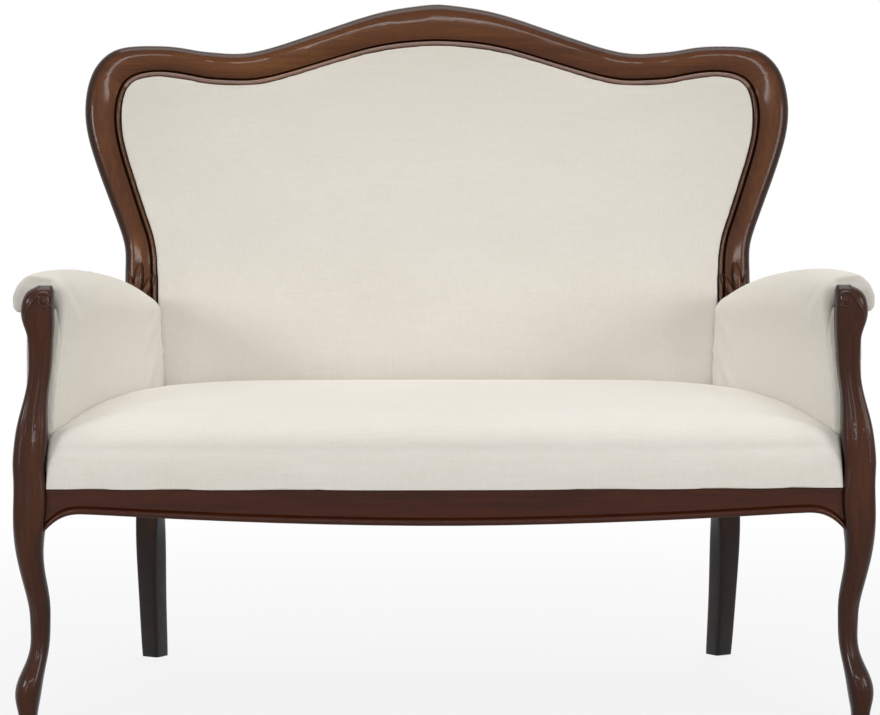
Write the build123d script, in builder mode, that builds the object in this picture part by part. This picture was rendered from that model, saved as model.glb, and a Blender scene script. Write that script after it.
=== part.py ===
from build123d import *
from math import acos, atan2, copysign, cos, exp, pi, radians, sin, tan
import os

# A two-seat settee: carved show-wood frame, sprung seat, padded back and rolled padded arms.
# X runs to the viewer's right, Y to the back and Z up; the origin is on the floor under the middle.
# Right-hand pieces are modelled and their left-hand twins mirrored. Sizes are millimetres and degrees.

# Overall reach
KNEE_SPREAD = 1249.0  # across the knees of the front posts
OVERALL_DEPTH = 680.0  # seat front to crest back
CREST_HEIGHT = 1058.0  # floor to the top of the crest
RAIL_TOP = 345.0  # floor to the top of the seat rails
POST_TOP = 635.0  # floor to the top of the arm posts
SEAT_HEIGHT = 462.0  # floor to the crown of the seat
ARM_HEIGHT = 654.0  # floor to the top of the arm pads, before their covers
REAR_LEG_SPREAD = 918.0  # between the centres of the rear legs
BACK_LEAN = 9.5  # back from upright
BACK_DATUM = 450.0  # height at which the heights up the back start

# Show-wood frame
FRAME_THICK = 36.0
FRAME_BEAD = 8.0  # width of the bead along the upholstered edge
FRAME_BEAD_FOOT = 6.0  # the bead springs this far behind the frame's face
FRAME_QUIRK = 2.0  # depth of the groove beside the bead
FRAME_GROOVE = 3.0  # width of that groove
FRAME_DISH = 4.0  # frame beside the groove, behind its face
FRAME_CROWN = 1.5  # height of the frame's ridge before its face
FRAME_RIDGE = 0.68  # place of the ridge, as a share of the frame's width
FRAME_ROLL = 16.0  # how far the outer edge rolls back from the ridge
REBATE_WIDTH = 12.0  # step in the back of the frame for webbing and board
REBATE_DEPTH = 14.0
RAIL_THICK = 26.0
RAIL_BOW = 24.0  # how far the front rail bows forward
RAIL_BEAD = 9.0
RAIL_BEAD_PROUD = 3.0
RAIL_QUIRK = 1.6
RAIL_EDGE = 3.0  # rounding of the top edge
RAIL_END_DEPTH = 77.0  # depth of the front and side rails inside the front posts
POST_PROUD = 15.0  # front posts stand this far before the ends of the front rail
POST_RAIL_WIDTH = 47.0  # front post at the seat rail
POST_RAIL_DEPTH = 52.0
SEAT_OVERHANG = 3.0  # seat front before the rail face
SECTION_POINTS = 24  # points round a carved section
HOLLOW_SPAN = 0.45  # half-width of the hollow down the arm post, as a share of the half-section

# Rear legs
BLOCK_WIDTH = 52.0
BLOCK_DEPTH = 42.0
BLOCK_HEIGHT = 70.0
BLOCK_PROUD = 5.0  # above the seat rails
REAR_FOOT = 32.0  # side of the square foot
REAR_LEG_TOP = 40.0
REAR_RAKE = 106.0  # how far the rear foot stands behind its block
REAR_CURVE = 1.6  # how the rake sets in down the leg
REAR_TURN = 33.0  # turn of the leg's square section
REAR_UNTURN = 6  # how late the section squares up under its block
REAR_SQUARENESS = 7.0
REAR_STATIONS = 4

# Joinery
TENON = 10.0  # thickness of the seat rail tenons
TENON_LENGTH = 22.0
SIDE_TENON_LENGTH = 16.0
REAR_TENON_LENGTH = 14.0
TENON_MARGIN = 7.0  # rail left above and below a tenon
REAR_RAIL_DEPTH = 42.0
REAR_RAIL_THICK = 24.0
DOWEL = 10.0
DOWEL_LENGTH = 60.0
DOWEL_PLACES = (0.38, 0.74)  # shares of the frame's width
BRACE_WIDTH = 45.0
BRACE_HEIGHT = 24.0
BRACE_DROP = 11.0  # below the rail top
BRACE_STUB = 8.0  # let into the rails
BLOCKING_LEG = 85.0  # legs of the corner blocks
BLOCKING_HEIGHT = 32.0
BLOCKING_DROP = 8.0
BLOCKING_OVERLAP = 2.0  # scribed away against the rails
SCREW_SHANK = 4.5
SCREW_HEAD = 9.0
SCREW_HEAD_HEIGHT = 3.0
SCREW_LENGTH = 44.0
SCREW_GRIP = 29.0  # head face to rail face
SCREW_PLACE = 44.0  # along the rail from the corner
SCREW_BORE = 10.0
SCREW_BORE_LENGTH = 80.0

# Arm frame
SIDE_RAIL_INSET = 9.0  # side rail face inside the knee, at the front post
SIDE_RAIL_REAR = 19.0  # side rail face outside the rear leg's centre
ARM_INSET = 38.0  # centre of the arm rail and roll inside the knee, at the front post
ARM_REAR = 11.0  # and outside the rear leg's centre, at the stile
ARM_RAIL_WIDTH = 30.0
ARM_RAIL_HEIGHT = 32.0
ARM_RAIL_FRONT = 600.0  # height of the arm rail's centre at the post
ARM_RAIL_REAR = 541.0  # and at the stile
ARM_TENON_HEIGHT = 18.0
ARM_STAY_HEIGHT = 445.0
ARM_STAY_WIDTH = 22.0
ARM_STAY_DEPTH = 32.0
ROLL_END = -32.0  # direction in which the roll ends, below level
BACK_STAY_DEPTH = 40.0
BACK_STAY_TENON = 9.0
BACK_STAY_SETBACK = 2.0

# Upholstery
COVER = 1.6
STRAP = 2.0
STRAP_WIDTH = 50.0
HESSIAN = 1.2
BOARD = 3.0
OUTSIDE_PANEL = 3.0
DUST_COVER = 1.0
LAY = 0.3  # clearance between soft layers and what they lie on
PAD_FIT = 1.2  # gap between the back pad and the frame
PAD_EDGE = -2.0  # back pad's edge, from the face of the frame
ARM_FACE = 2.0  # arm pads stop this far before the back
FOAM_BACK = RAIL_THICK + STRAP + LAY  # arm foam's back at its foot, inside the side rail face
STRAP_LAP = 20.0  # webbing onto the rails
ARM_STRAPS = (0.2, 0.5, 0.8)  # arm webbing, shares of the side rail's run
BACK_STRAPS = 5
BACK_STRAP_SPACING = 165.0
BACK_BELTS = (0.14, 0.37, 0.6)  # level webbing, shares of the back's rise
PAD_START = 2  # first station of the back frame that the pad reaches
PAD_ROOM = 60.0  # room for the pad's swell before the frame
SEAT_POST_FIT = 4.5  # seat pad's front end, clear of the posts
SEAT_BOXING = 48.0  # upright front of the seat pad
SEAT_NOSE = 62.0  # depth of its rolled front edge
SEAT_BROW = 13.0  # rolled edge below the crown
SEAT_TAIL = 6.0  # back edge below the crown
SEAT_SWELL = 3.0  # bulge of the upright front
SEAT_ROUND = (0.26, 0.68)  # how full the rolled edge is, shares of its depth and rise
SEAT_NOSE_FALL = 0.7  # how much of the crown's drop the upright front takes
SEAT_CROWN_FALL = 0.6  # and the middle and back of the top
BACK_LAP = 10.0  # outside back cover onto the frame

# Seat springs
WIRE = 3.6
SPRING_WIDTH = 48.0
SPRING_BARS = 25
SPRING_SPACING = 112.0
SPRING_PAIRS = 4
CLIP = 1.0
CLIP_LENGTH = 15.0
CLIP_WIDTH = 22.0
CLIP_SETBACK = 15.6  # spring's front bar behind the rail's face

# Front leg: share of the rail height, inset from the knee, width, set-back, depth, squareness
LEG_SHAPE = (
    (0.000, 5.5, 28.0, 8.0, 32.0, 3.0),
    (0.064, 3.5, 31.0, 3.0, 40.0, 2.6),
    (0.136, 0.9, 38.0, 0.0, 48.0, 2.3),
    (0.203, 7.5, 35.0, 6.0, 44.0, 2.2),
    (0.275, 18.0, 29.0, 18.0, 36.0, 2.0),
    (0.391, 22.0, 29.0, 24.0, 32.0, 1.9),
    (0.522, 17.5, 33.0, 20.0, 35.0, 1.9),
    (0.652, 7.0, 37.0, 12.0, 40.0, 2.0),
    (0.759, 1.0, 42.5, 6.0, 46.0, 2.4),
    (0.870, 0.0, POST_RAIL_WIDTH + 1.0, 3.0, POST_RAIL_DEPTH, 4.5),
    (1.000, 1.4, POST_RAIL_WIDTH, 3.0, POST_RAIL_DEPTH, 5.5),
)
# Arm post above the rail: share of its height, then as above, and the depth of the hollow down its face
POST_SHAPE = (
    (0.114, 0.3, 46.0, 4.0, 50.0, 5.0, 0.6),
    (0.217, 2.5, 47.0, 5.0, 48.0, 4.5, 1.6),
    (0.328, 8.0, 42.0, 8.0, 44.0, 4.0, 2.6),
    (0.431, 16.0, 34.5, 12.0, 40.0, 4.0, 2.8),
    (0.534, 22.0, 32.0, 14.0, 38.0, 4.0, 2.8),
    (0.672, 23.5, 34.7, 12.0, 39.0, 4.0, 2.8),
    (0.783, 19.5, 41.0, 8.0, 43.0, 4.0, 2.8),
    (0.866, 13.8, 47.0, 5.0, 47.0, 3.6, 2.0),
    (0.928, 16.0, 45.0, 5.0, 47.0, 3.2, 1.0),
    (0.966, 22.0, 39.0, 8.0, 41.0, 2.8, 0.4),
    (0.986, 30.0, 30.0, 13.0, 31.0, 2.5, 0.0),
    (1.000, 38.0, 20.0, 19.0, 19.0, 2.2, 0.0),
)
# Stile: inner edge's offset from the rear leg's centre and share of the back's rise, then the outer edge's
STILE_SHAPE = (
    (-22.0, -0.165, 24.0, -0.165),
    (-19.5, -0.110, 27.5, -0.110),
    (-17.0, -0.055, 31.0, -0.055),
    (-15.6, 0.010, 33.2, 0.010),
    (-14.0, 0.080, 35.6, 0.080),
    (-12.3, 0.150, 38.0, 0.150),
    (-11.3, 0.220, 39.8, 0.220),
    (-11.0, 0.300, 40.2, 0.297),
    (-7.0, 0.370, 40.8, 0.357),
    (6.3, 0.441, 50.5, 0.415),
    (25.2, 0.535, 71.5, 0.506),
    (41.5, 0.624, 92.0, 0.600),
    (48.0, 0.694, 104.7, 0.689),
    (45.8, 0.741, 103.8, 0.762),
    (40.8, 0.767, 95.5, 0.813),
    (38.0, 0.775, 90.0, 0.831),
)
# Crest, shoulder to middle: shares of the shoulder's X and of the back's rise, inner edge then outer
CREST_SHAPE = (
    (0.993, 0.783, 0.987, 0.847),
    (0.978, 0.793, 0.960, 0.869),
    (0.937, 0.804, 0.896, 0.887),
    (0.886, 0.806, 0.816, 0.889),
    (0.804, 0.797, 0.727, 0.881),
    (0.724, 0.786, 0.652, 0.872),
    (0.644, 0.783, 0.583, 0.869),
    (0.563, 0.788, 0.504, 0.880),
    (0.463, 0.809, 0.405, 0.908),
    (0.362, 0.834, 0.309, 0.938),
    (0.241, 0.863, 0.202, 0.970),
    (0.121, 0.881, 0.102, 0.990),
    (0.000, 0.887, 0.000, 1.000),
)
# Front rail: share of the way from the middle to the post, depth of the rail there
FRONT_RAIL_SHAPE = (
    (0.000, 55.0),
    (0.350, 52.0),
    (0.610, 47.0),
    (0.800, 42.0),
    (0.895, 39.6),
    (0.940, 41.0),
    (0.972, 49.0),
    (1.000, 63.0),
)
# Side rails: share of the way from the front post to the rear block, depth of the rail there
SIDE_RAIL_SHAPE = (
    (0.000, 69.0),
    (0.040, 58.0),
    (0.080, 47.0),
    (0.140, 41.5),
    (0.240, 41.0),
    (0.400, 41.5),
    (0.620, 42.0),
    (0.840, 42.0),
    (1.000, 42.0),
)
# Arm pad: share of its length, drop of its top, radius of the roll, foot inside the side rail face
ARM_SHAPE = (
    (0.000, 0.0, 43.0, 34.0),
    (0.137, 0.0, 43.0, 34.0),
    (0.333, 5.0, 42.0, 33.5),
    (0.529, 15.0, 40.0, 34.0),
    (0.725, 31.0, 37.0, 38.0),
    (0.882, 50.0, 34.0, 46.0),
    (1.000, 67.0, 32.0, 52.0),
)
# Seat pad: share of the half-width, drop of the crown
SEAT_SHAPE = (
    (0.000, 0.0),
    (0.400, 1.5),
    (0.740, 5.0),
    (0.920, 12.0),
    (1.000, 22.0),
)
# Back pad: share of the back's rise, crown before the face of the frame
BACK_SHAPE = (
    (-0.220, 18.0),
    (-0.060, 21.0),
    (0.160, 25.0),
    (0.400, 25.0),
    (0.640, 18.0),
    (0.810, 5.0),
    (0.920, -3.0),
)

# Places worked out from the sizes
KNEE_X = KNEE_SPREAD / 2
REAR_LEG_X = REAR_LEG_SPREAD / 2
LEAN = radians(BACK_LEAN)
BACK_RISE = (CREST_HEIGHT - BACK_DATUM) / cos(LEAN)
BACK_Y = OVERALL_DEPTH / 2 - BACK_RISE * sin(LEAN) - FRAME_THICK * cos(LEAN)
SEAT_FRONT_Y = -OVERALL_DEPTH / 2
RAIL_FACE_Y = SEAT_FRONT_Y + SEAT_OVERHANG
POST_FRONT_Y = RAIL_FACE_Y + RAIL_BOW - POST_PROUD
POST_BACK_Y = POST_FRONT_Y + LEG_SHAPE[-1][3] + POST_RAIL_DEPTH
SHOULDER_X = KNEE_X - POST_RAIL_WIDTH
BLOCK_Y = BACK_Y - (BACK_DATUM - RAIL_TOP) * tan(LEAN) + FRAME_THICK / 2
BLOCK_FRONT_Y = BLOCK_Y - BLOCK_DEPTH / 2
BLOCK_TOP = RAIL_TOP + BLOCK_PROUD
LEG_TOP = BLOCK_TOP - BLOCK_HEIGHT
SPRING_Z = RAIL_TOP + CLIP + WIRE / 2
HESSIAN_Z = SPRING_Z + WIRE / 2 + CLIP + LAY
FOAM_Z = HESSIAN_Z + HESSIAN
ARM_FRONT_Y = POST_BACK_Y + COVER
ARM_REAR_Y = BACK_Y + FRAME_THICK
ARM_BASE = RAIL_TOP + LAY
REBATE = REBATE_DEPTH - FRAME_THICK
TENON_TOP = RAIL_TOP - TENON_MARGIN
TENON_FOOT = RAIL_TOP - REAR_RAIL_DEPTH + TENON_MARGIN
PAD_BACK = REBATE + HESSIAN
PAD_FOOT = BACK_RISE * STILE_SHAPE[PAD_START][1]
BACK_STAY_THICK = -REBATE - BACK_STAY_SETBACK

back_plane = Plane(origin=(0, BACK_Y, BACK_DATUM), x_dir=(1, 0, 0), z_dir=(0, -cos(LEAN), sin(LEAN)))


def back_y(height):
    """Depth of the frame's face at a height."""
    return BACK_Y - (BACK_DATUM - height) * tan(LEAN)


def rail_bow(x):
    """How far the front rail's face lies behind its middle."""
    return RAIL_BOW * (x / SHOULDER_X) ** 2


def along(y, front, rear, rear_y):
    """Value at a depth on a straight run from the back of the front post to a place further back."""
    return front + (rear - front) * (y - POST_BACK_Y) / (rear_y - POST_BACK_Y)


def side_x(y):
    """Outer face of the side rail."""
    return along(y, KNEE_X - SIDE_RAIL_INSET, REAR_LEG_X + SIDE_RAIL_REAR, BLOCK_FRONT_Y)


def arm_x(y):
    """Centre of the arm rail and of the arm's roll."""
    return along(y, KNEE_X - ARM_INSET, REAR_LEG_X + ARM_REAR, arm_end_y)


def arm_rail_z(y):
    """Height of the arm rail's centre, which falls to the back."""
    return along(y, ARM_RAIL_FRONT, ARM_RAIL_REAR, arm_end_y)


def panel_line(y):
    """Inner face of the outside arm panel: foot and head."""
    foot = (side_x(y) - OUTSIDE_PANEL - RAIL_EDGE, ARM_BASE)
    return foot, (arm_x(y) + ARM_RAIL_WIDTH / 2 + LAY, arm_rail_z(y) - LAY)


def strap_line(y):
    """Outer face of the arm webbing between the side rail and the arm rail: foot and head."""
    foot = (side_x(y) - RAIL_THICK, RAIL_TOP)
    return foot, (arm_x(y) - ARM_RAIL_WIDTH / 2, arm_rail_z(y) - ARM_RAIL_HEIGHT / 2)


def stay_x(y):
    """Centre of the arm stay rail, midway between the webbing and the outside panel."""
    places = []
    for (low_x, low_z), (high_x, high_z) in (panel_line(y), strap_line(y)):
        places.append(low_x + (high_x - low_x) * (ARM_STAY_HEIGHT - low_z) / (high_z - low_z))
    return sum(places) / 2


def cross_plane(y):
    """Upright plane across the settee at a depth: local axes X and Z."""
    return Plane.XZ.offset(-y)


def mirrored(piece):
    """The left-hand twin of a right-hand piece."""
    with BuildPart() as twin:
        mirror(piece.part, about=Plane.YZ)
    return twin


def cut_by(*pieces):
    """Scribes the part being built to the pieces that it meets."""
    for piece in pieces:
        add(piece.part, mode=Mode.SUBTRACT)


def mortise(centre, size):
    """Cuts a square-ended mortise into the part being built."""
    with Locations(centre):
        Box(*size, mode=Mode.SUBTRACT)


def clear_blocks():
    """Cuts the part being built back from the square blocks of the rear posts."""
    with Locations((REAR_LEG_X, BLOCK_Y, LEG_TOP), (-REAR_LEG_X, BLOCK_Y, LEG_TOP)):
        Box(BLOCK_WIDTH + 2 * LAY, BLOCK_DEPTH + 2 * LAY, 2 * (BLOCK_HEIGHT + LAY), mode=Mode.SUBTRACT)


def squared_oval(centre, width, depth, squareness, hollow=0.0, turn=0.0):
    """Points round a carved section, with an optional hollow down its front."""
    points = []
    for step in range(SECTION_POINTS):
        angle = 2 * pi * step / SECTION_POINTS
        across = copysign(abs(cos(angle)) ** (2 / squareness), cos(angle))
        fore = copysign(abs(sin(angle)) ** (2 / squareness), sin(angle))
        dip = hollow * exp(-((across / HOLLOW_SPAN) ** 2)) if fore < 0 else 0.0
        x = width * across / 2
        y = depth * fore / 2 + dip
        points.append((centre[0] + x * cos(turn) - y * sin(turn), centre[1] + x * sin(turn) + y * cos(turn)))
    return points


def carved_section(height, points):
    """One level section of a carved post."""
    with BuildSketch(Plane.XY.offset(height)) as section:
        with BuildLine():
            Spline(*points, periodic=True)
        make_face()
    return section.sketch


def rail_section(plane, depth):
    """One section of a show-wood seat rail: rounded top edge, plain face, groove and bead at the foot."""
    foot = RAIL_TOP - depth
    bead_top = foot + RAIL_BEAD
    diagonal = RAIL_EDGE * (1 - cos(pi / 4))
    with BuildSketch(plane) as section:
        with BuildLine():
            Line((-RAIL_THICK, foot), (0, foot))
            ThreePointArc((0, foot), (RAIL_BEAD_PROUD, foot + RAIL_BEAD / 2), (0, bead_top))
            Polyline((0, bead_top), (-RAIL_QUIRK, bead_top + RAIL_QUIRK / 2), (0, bead_top + 2 * RAIL_QUIRK))
            Line((0, bead_top + 2 * RAIL_QUIRK), (0, RAIL_TOP - RAIL_EDGE))
            ThreePointArc((0, RAIL_TOP - RAIL_EDGE), (-diagonal, RAIL_TOP - diagonal), (-RAIL_EDGE, RAIL_TOP))
            Polyline((-RAIL_EDGE, RAIL_TOP), (-RAIL_THICK, RAIL_TOP), (-RAIL_THICK, foot))
        make_face()
    return section.sketch


def frame_section(plane, width):
    """One section of the back frame: bead at the upholstered edge, groove, crown, rolled outer edge."""
    bead = FRAME_BEAD / 2
    dish = (FRAME_BEAD + FRAME_GROOVE, -FRAME_DISH)
    groove = (FRAME_BEAD + FRAME_GROOVE / 3, -FRAME_BEAD_FOOT - FRAME_QUIRK)
    ridge = (width * FRAME_RIDGE, FRAME_CROWN)
    swell = ((dish[0] + ridge[0]) / 2, 0)
    edge = (width, FRAME_CROWN - FRAME_ROLL)
    roll = (ridge[0] + (width - ridge[0]) * sin(pi / 4), FRAME_CROWN - FRAME_ROLL * (1 - cos(pi / 4)))
    with BuildSketch(plane) as section:
        with BuildLine():
            Line((0, REBATE), (0, -FRAME_BEAD_FOOT))
            ThreePointArc((0, -FRAME_BEAD_FOOT), (bead, bead - FRAME_BEAD_FOOT), (2 * bead, -FRAME_BEAD_FOOT))
            Polyline((2 * bead, -FRAME_BEAD_FOOT), groove, dish)
            ThreePointArc(dish, swell, ridge)
            ThreePointArc(ridge, roll, edge)
            Polyline(
                edge,
                (width, -FRAME_THICK),
                (REBATE_WIDTH, -FRAME_THICK),
                (REBATE_WIDTH, REBATE),
                (0, REBATE),
            )
        make_face()
    return section.sketch


def frame_station(inner_x, inner_share, outer_x, outer_share):
    """Inner and outer point of the back frame on its leaning plane."""
    return Vector(inner_x, BACK_RISE * inner_share), Vector(outer_x, BACK_RISE * outer_share)


# Back frame outline, left foot over the crest to right foot
right_half = [frame_station(REAR_LEG_X + xi, vi, REAR_LEG_X + xo, vo) for xi, vi, xo, vo in STILE_SHAPE]
shoulder_in, shoulder_out = right_half[-1]
right_half += [
    frame_station(shoulder_in.X * xi, vi, shoulder_out.X * xo, vo) for xi, vi, xo, vo in CREST_SHAPE
]
left_half = [(Vector(-inner.X, inner.Y), Vector(-outer.X, outer.Y)) for inner, outer in right_half[:-1]]
frame_stations = left_half + right_half[::-1]
shoulder = len(STILE_SHAPE) - 1


def frame_plane(inner, outer):
    """Plane across the back frame: X from the inner to the outer edge, Y to the front; level at its foot."""
    if inner == right_half[0][0]:
        return Plane((inner.X, back_y(BLOCK_TOP), BLOCK_TOP), x_dir=(1, 0, 0), z_dir=(0, 0, -1))
    origin = back_plane.from_local_coords(inner)
    outward = back_plane.from_local_coords(outer) - origin
    return Plane(origin=origin, x_dir=outward, z_dir=outward.cross(back_plane.z_dir))


def opening_slab(margin, near, far, start=0):
    """The back's opening, moved out by a margin, as a slab between two levels from the face of the frame."""
    stations = frame_stations[start : len(frame_stations) - start]
    points = [inner + (outer - inner).normalized() * margin for inner, outer in stations]
    with BuildPart() as slab:
        with BuildSketch(back_plane.offset(far)):
            with BuildLine():
                Spline(*points)
                Line(points[-1], points[0])
            make_face()
        extrude(amount=near - far)
    return slab


def back_dome(grow, rear):
    """Swelling of the back pad, wider than the opening's foot and running on below the seat."""
    with BuildPart() as dome:
        for share, crown in BACK_SHAPE:
            level = BACK_RISE * share
            reach = half_opening(level)
            edge = PAD_EDGE + grow
            with BuildSketch(Plane(back_plane.from_local_coords((0, level)), (1, 0, 0), -back_plane.y_dir)):
                with BuildLine():
                    Polyline((reach, edge), (reach, rear), (-reach, rear), (-reach, edge))
                    ThreePointArc((-reach, edge), (0, crown + grow), (reach, edge))
                make_face()
        loft()
    return dome


def half_opening(level):
    """Half the opening's width at a height up the back, read between the stile's stations."""
    stile = [right_half[k][0] for k in range(len(STILE_SHAPE))]
    if level <= stile[0].Y:
        return stile[0].X
    for low, high in zip(stile, stile[1:]):
        if low.Y <= level <= high.Y:
            return low.X + (high.X - low.X) * (level - low.Y) / (high.Y - low.Y)
    return stile[-1].X


# Carved front posts, each an arm post and a cabriole leg in one
leg_stations = [(RAIL_TOP * share, *shape, 0.0) for share, *shape in LEG_SHAPE]
post_stations = [(RAIL_TOP + (POST_TOP - RAIL_TOP) * share, *shape) for share, *shape in POST_SHAPE]
rail_end_y = RAIL_FACE_Y + RAIL_BOW + RAIL_THICK / 2
tenon_height = TENON_TOP - TENON_FOOT
tenon_z = (TENON_TOP + TENON_FOOT) / 2
side_tenon_x = side_x(POST_BACK_Y - SIDE_TENON_LENGTH / 2) - RAIL_THICK / 2
side_mortise = (TENON, 2 * SIDE_TENON_LENGTH, tenon_height)
rear_side_x = side_x(BLOCK_FRONT_Y + REAR_TENON_LENGTH / 2) - RAIL_THICK / 2
arm_end_y = back_y(ARM_RAIL_REAR)
arm_end_x = arm_x(arm_end_y + REAR_TENON_LENGTH / 2)
stay_end_y = back_y(ARM_STAY_HEIGHT)
stay_end_x = stay_x(stay_end_y + REAR_TENON_LENGTH / 2)
post_arm_x = arm_x(POST_BACK_Y - SIDE_TENON_LENGTH / 2)
post_stay_x = stay_x(POST_BACK_Y - SIDE_TENON_LENGTH / 2)

post_sections = []
for height, inset, width, setback, depth, squareness, hollow in leg_stations + post_stations:
    centre = (KNEE_X - inset - width / 2, POST_FRONT_Y + setback + depth / 2)
    post_sections.append(carved_section(height, squared_oval(centre, width, depth, squareness, hollow)))

with BuildPart() as front_post_right:
    loft(post_sections)
    mortise((SHOULDER_X, rail_end_y, tenon_z), (2 * TENON_LENGTH, TENON, tenon_height))
    mortise((side_tenon_x, POST_BACK_Y, tenon_z), side_mortise)
    for x, height in ((post_arm_x, ARM_RAIL_FRONT), (post_stay_x, ARM_STAY_HEIGHT)):
        mortise((x, POST_BACK_Y, height), (TENON, 2 * SIDE_TENON_LENGTH, ARM_TENON_HEIGHT))
front_post_left = mirrored(front_post_right)

# Back frame: the crest and the stiles meet at the shoulders on one section
frame_sections = []
for inner, outer in frame_stations:
    frame_sections.append(frame_section(frame_plane(inner, outer), (outer - inner).length))

# Lower back rail, level with the step in the back of the frame
back_stay_level = PAD_FOOT - LAY - BACK_STAY_DEPTH / 2
back_stay_x = half_opening(back_stay_level)
back_stay_depth = -BACK_STAY_SETBACK - BACK_STAY_THICK / 2
back_stay_origin = back_plane.from_local_coords((0, back_stay_level, back_stay_depth))
back_stay_middle = Plane(back_stay_origin, x_dir=(1, 0, 0), z_dir=back_plane.y_dir)
back_stay_end = back_stay_middle.offset(0)
back_stay_end.origin = back_stay_origin + Vector(back_stay_x, 0, 0)

shoulder_right = frame_plane(*right_half[shoulder])
shoulder_left = frame_plane(*left_half[shoulder])
shoulder_width = (right_half[shoulder][1] - right_half[shoulder][0]).length

with BuildPart() as crest_dowels:
    for plane in (shoulder_right, shoulder_left):
        with BuildSketch(plane):
            for share, depth in zip(DOWEL_PLACES, (REBATE / 2, REBATE)):
                with Locations((shoulder_width * share, depth)):
                    Circle(DOWEL / 2)
        extrude(amount=DOWEL_LENGTH / 2, both=True)

with BuildPart() as crest_rail:
    loft(frame_sections[shoulder : len(frame_sections) - shoulder])
    cut_by(crest_dowels)

leg_sections = []
for station in range(REAR_STATIONS + 1):
    share = station / REAR_STATIONS
    side = REAR_FOOT + (REAR_LEG_TOP - REAR_FOOT) * share
    centre = (REAR_LEG_X, BLOCK_Y + REAR_RAKE * (1 - share) ** REAR_CURVE)
    turn = radians(REAR_TURN) * (1 - share**REAR_UNTURN)
    outline = squared_oval(centre, side, side, REAR_SQUARENESS, turn=turn)
    leg_sections.append(carved_section(LEG_TOP * share, outline))

with BuildPart() as rear_post_right:
    loft(frame_sections[-shoulder - 1 :])
    cut_by(crest_dowels)
    loft(leg_sections)
    with Locations((REAR_LEG_X, BLOCK_Y, BLOCK_TOP - BLOCK_HEIGHT / 2)):
        Box(BLOCK_WIDTH, BLOCK_DEPTH, BLOCK_HEIGHT)
    mortise((REAR_LEG_X - BLOCK_WIDTH / 2, BLOCK_Y, tenon_z), (2 * REAR_TENON_LENGTH, TENON, tenon_height))
    mortise((rear_side_x, BLOCK_FRONT_Y, tenon_z), (TENON, 2 * REAR_TENON_LENGTH, tenon_height))
    mortise((arm_end_x, arm_end_y, ARM_RAIL_REAR), (TENON, 2 * REAR_TENON_LENGTH, ARM_TENON_HEIGHT))
    mortise((stay_end_x, stay_end_y, ARM_STAY_HEIGHT), (TENON, 2 * REAR_TENON_LENGTH, ARM_TENON_HEIGHT))
    with Locations(back_stay_end):
        Box(2 * BACK_STAY_TENON, TENON, BACK_STAY_DEPTH - 2 * TENON_MARGIN, mode=Mode.SUBTRACT)
rear_post_left = mirrored(rear_post_right)

# Rails that no upholstery carries, tenoned into the posts and let into each other
with BuildPart() as centre_brace:
    brace_front = RAIL_FACE_Y + RAIL_THICK - BRACE_STUB
    brace_back = BLOCK_Y - REAR_RAIL_THICK / 2 + BRACE_STUB
    with Locations((0, (brace_front + brace_back) / 2, RAIL_TOP - BRACE_DROP - BRACE_HEIGHT / 2)):
        Box(BRACE_WIDTH, brace_back - brace_front, BRACE_HEIGHT)

blocking_z = RAIL_TOP - BLOCKING_DROP - BLOCKING_HEIGHT
screw_z = blocking_z + BLOCKING_HEIGHT / 2
front_corner = (side_x(POST_BACK_Y) - RAIL_THICK, RAIL_FACE_Y + RAIL_BOW + RAIL_THICK)
rear_corner = (side_x(BLOCK_FRONT_Y) - RAIL_THICK, BLOCK_Y - REAR_RAIL_THICK / 2)


def screw_planes():
    """Head faces of the right-hand corner screws, each looking into its rail."""
    front_x = front_corner[0] - SCREW_PLACE
    front_y = RAIL_FACE_Y + rail_bow(front_x) + RAIL_THICK
    yield Plane((front_x, front_y + SCREW_GRIP, screw_z), z_dir=(0, -1, 0))
    yield Plane((rear_corner[0] - SCREW_PLACE, rear_corner[1] - SCREW_GRIP, screw_z), z_dir=(0, 1, 0))
    for y in (front_corner[1] + SCREW_PLACE, rear_corner[1] - SCREW_PLACE):
        yield Plane((side_x(y) - RAIL_THICK - SCREW_GRIP, y, screw_z), z_dir=(1, 0, 0))


with BuildPart() as corner_screws:
    for plane in screw_planes():
        with BuildSketch(plane):
            Circle(SCREW_HEAD / 2)
        extrude(amount=SCREW_HEAD_HEIGHT)
        with BuildSketch(plane):
            Circle(SCREW_SHANK / 2)
        extrude(amount=SCREW_LENGTH)
    mirror(about=Plane.YZ)

with BuildPart() as screw_bores:
    for plane in screw_planes():
        with BuildSketch(plane):
            Circle(SCREW_BORE / 2)
        extrude(amount=-SCREW_BORE_LENGTH)

rail_sections = []
rail_reach = SHOULDER_X + TENON_LENGTH
half_rail = [(share * SHOULDER_X, depth) for share, depth in FRONT_RAIL_SHAPE]
half_rail += [(rail_reach, RAIL_END_DEPTH)]
for x, depth in [(-x, depth) for x, depth in half_rail[:0:-1]] + half_rail:
    face = Plane((x, RAIL_FACE_Y + rail_bow(x), 0), x_dir=(0, -1, 0), z_dir=(-1, 0, 0))
    rail_sections.append(rail_section(face, depth))

with BuildPart() as front_seat_rail:
    loft(rail_sections)
    cut_by(front_post_right, front_post_left, centre_brace, corner_screws)
    for side in (1, -1):
        mortise((side * side_tenon_x, POST_BACK_Y, tenon_z), side_mortise)

with BuildPart() as rear_seat_rail:
    with Locations((0, BLOCK_Y, RAIL_TOP - REAR_RAIL_DEPTH / 2)):
        Box(REAR_LEG_SPREAD - BLOCK_WIDTH + 2 * REAR_TENON_LENGTH, REAR_RAIL_THICK, REAR_RAIL_DEPTH)
    cut_by(rear_post_right, rear_post_left, centre_brace, corner_screws)

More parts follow.
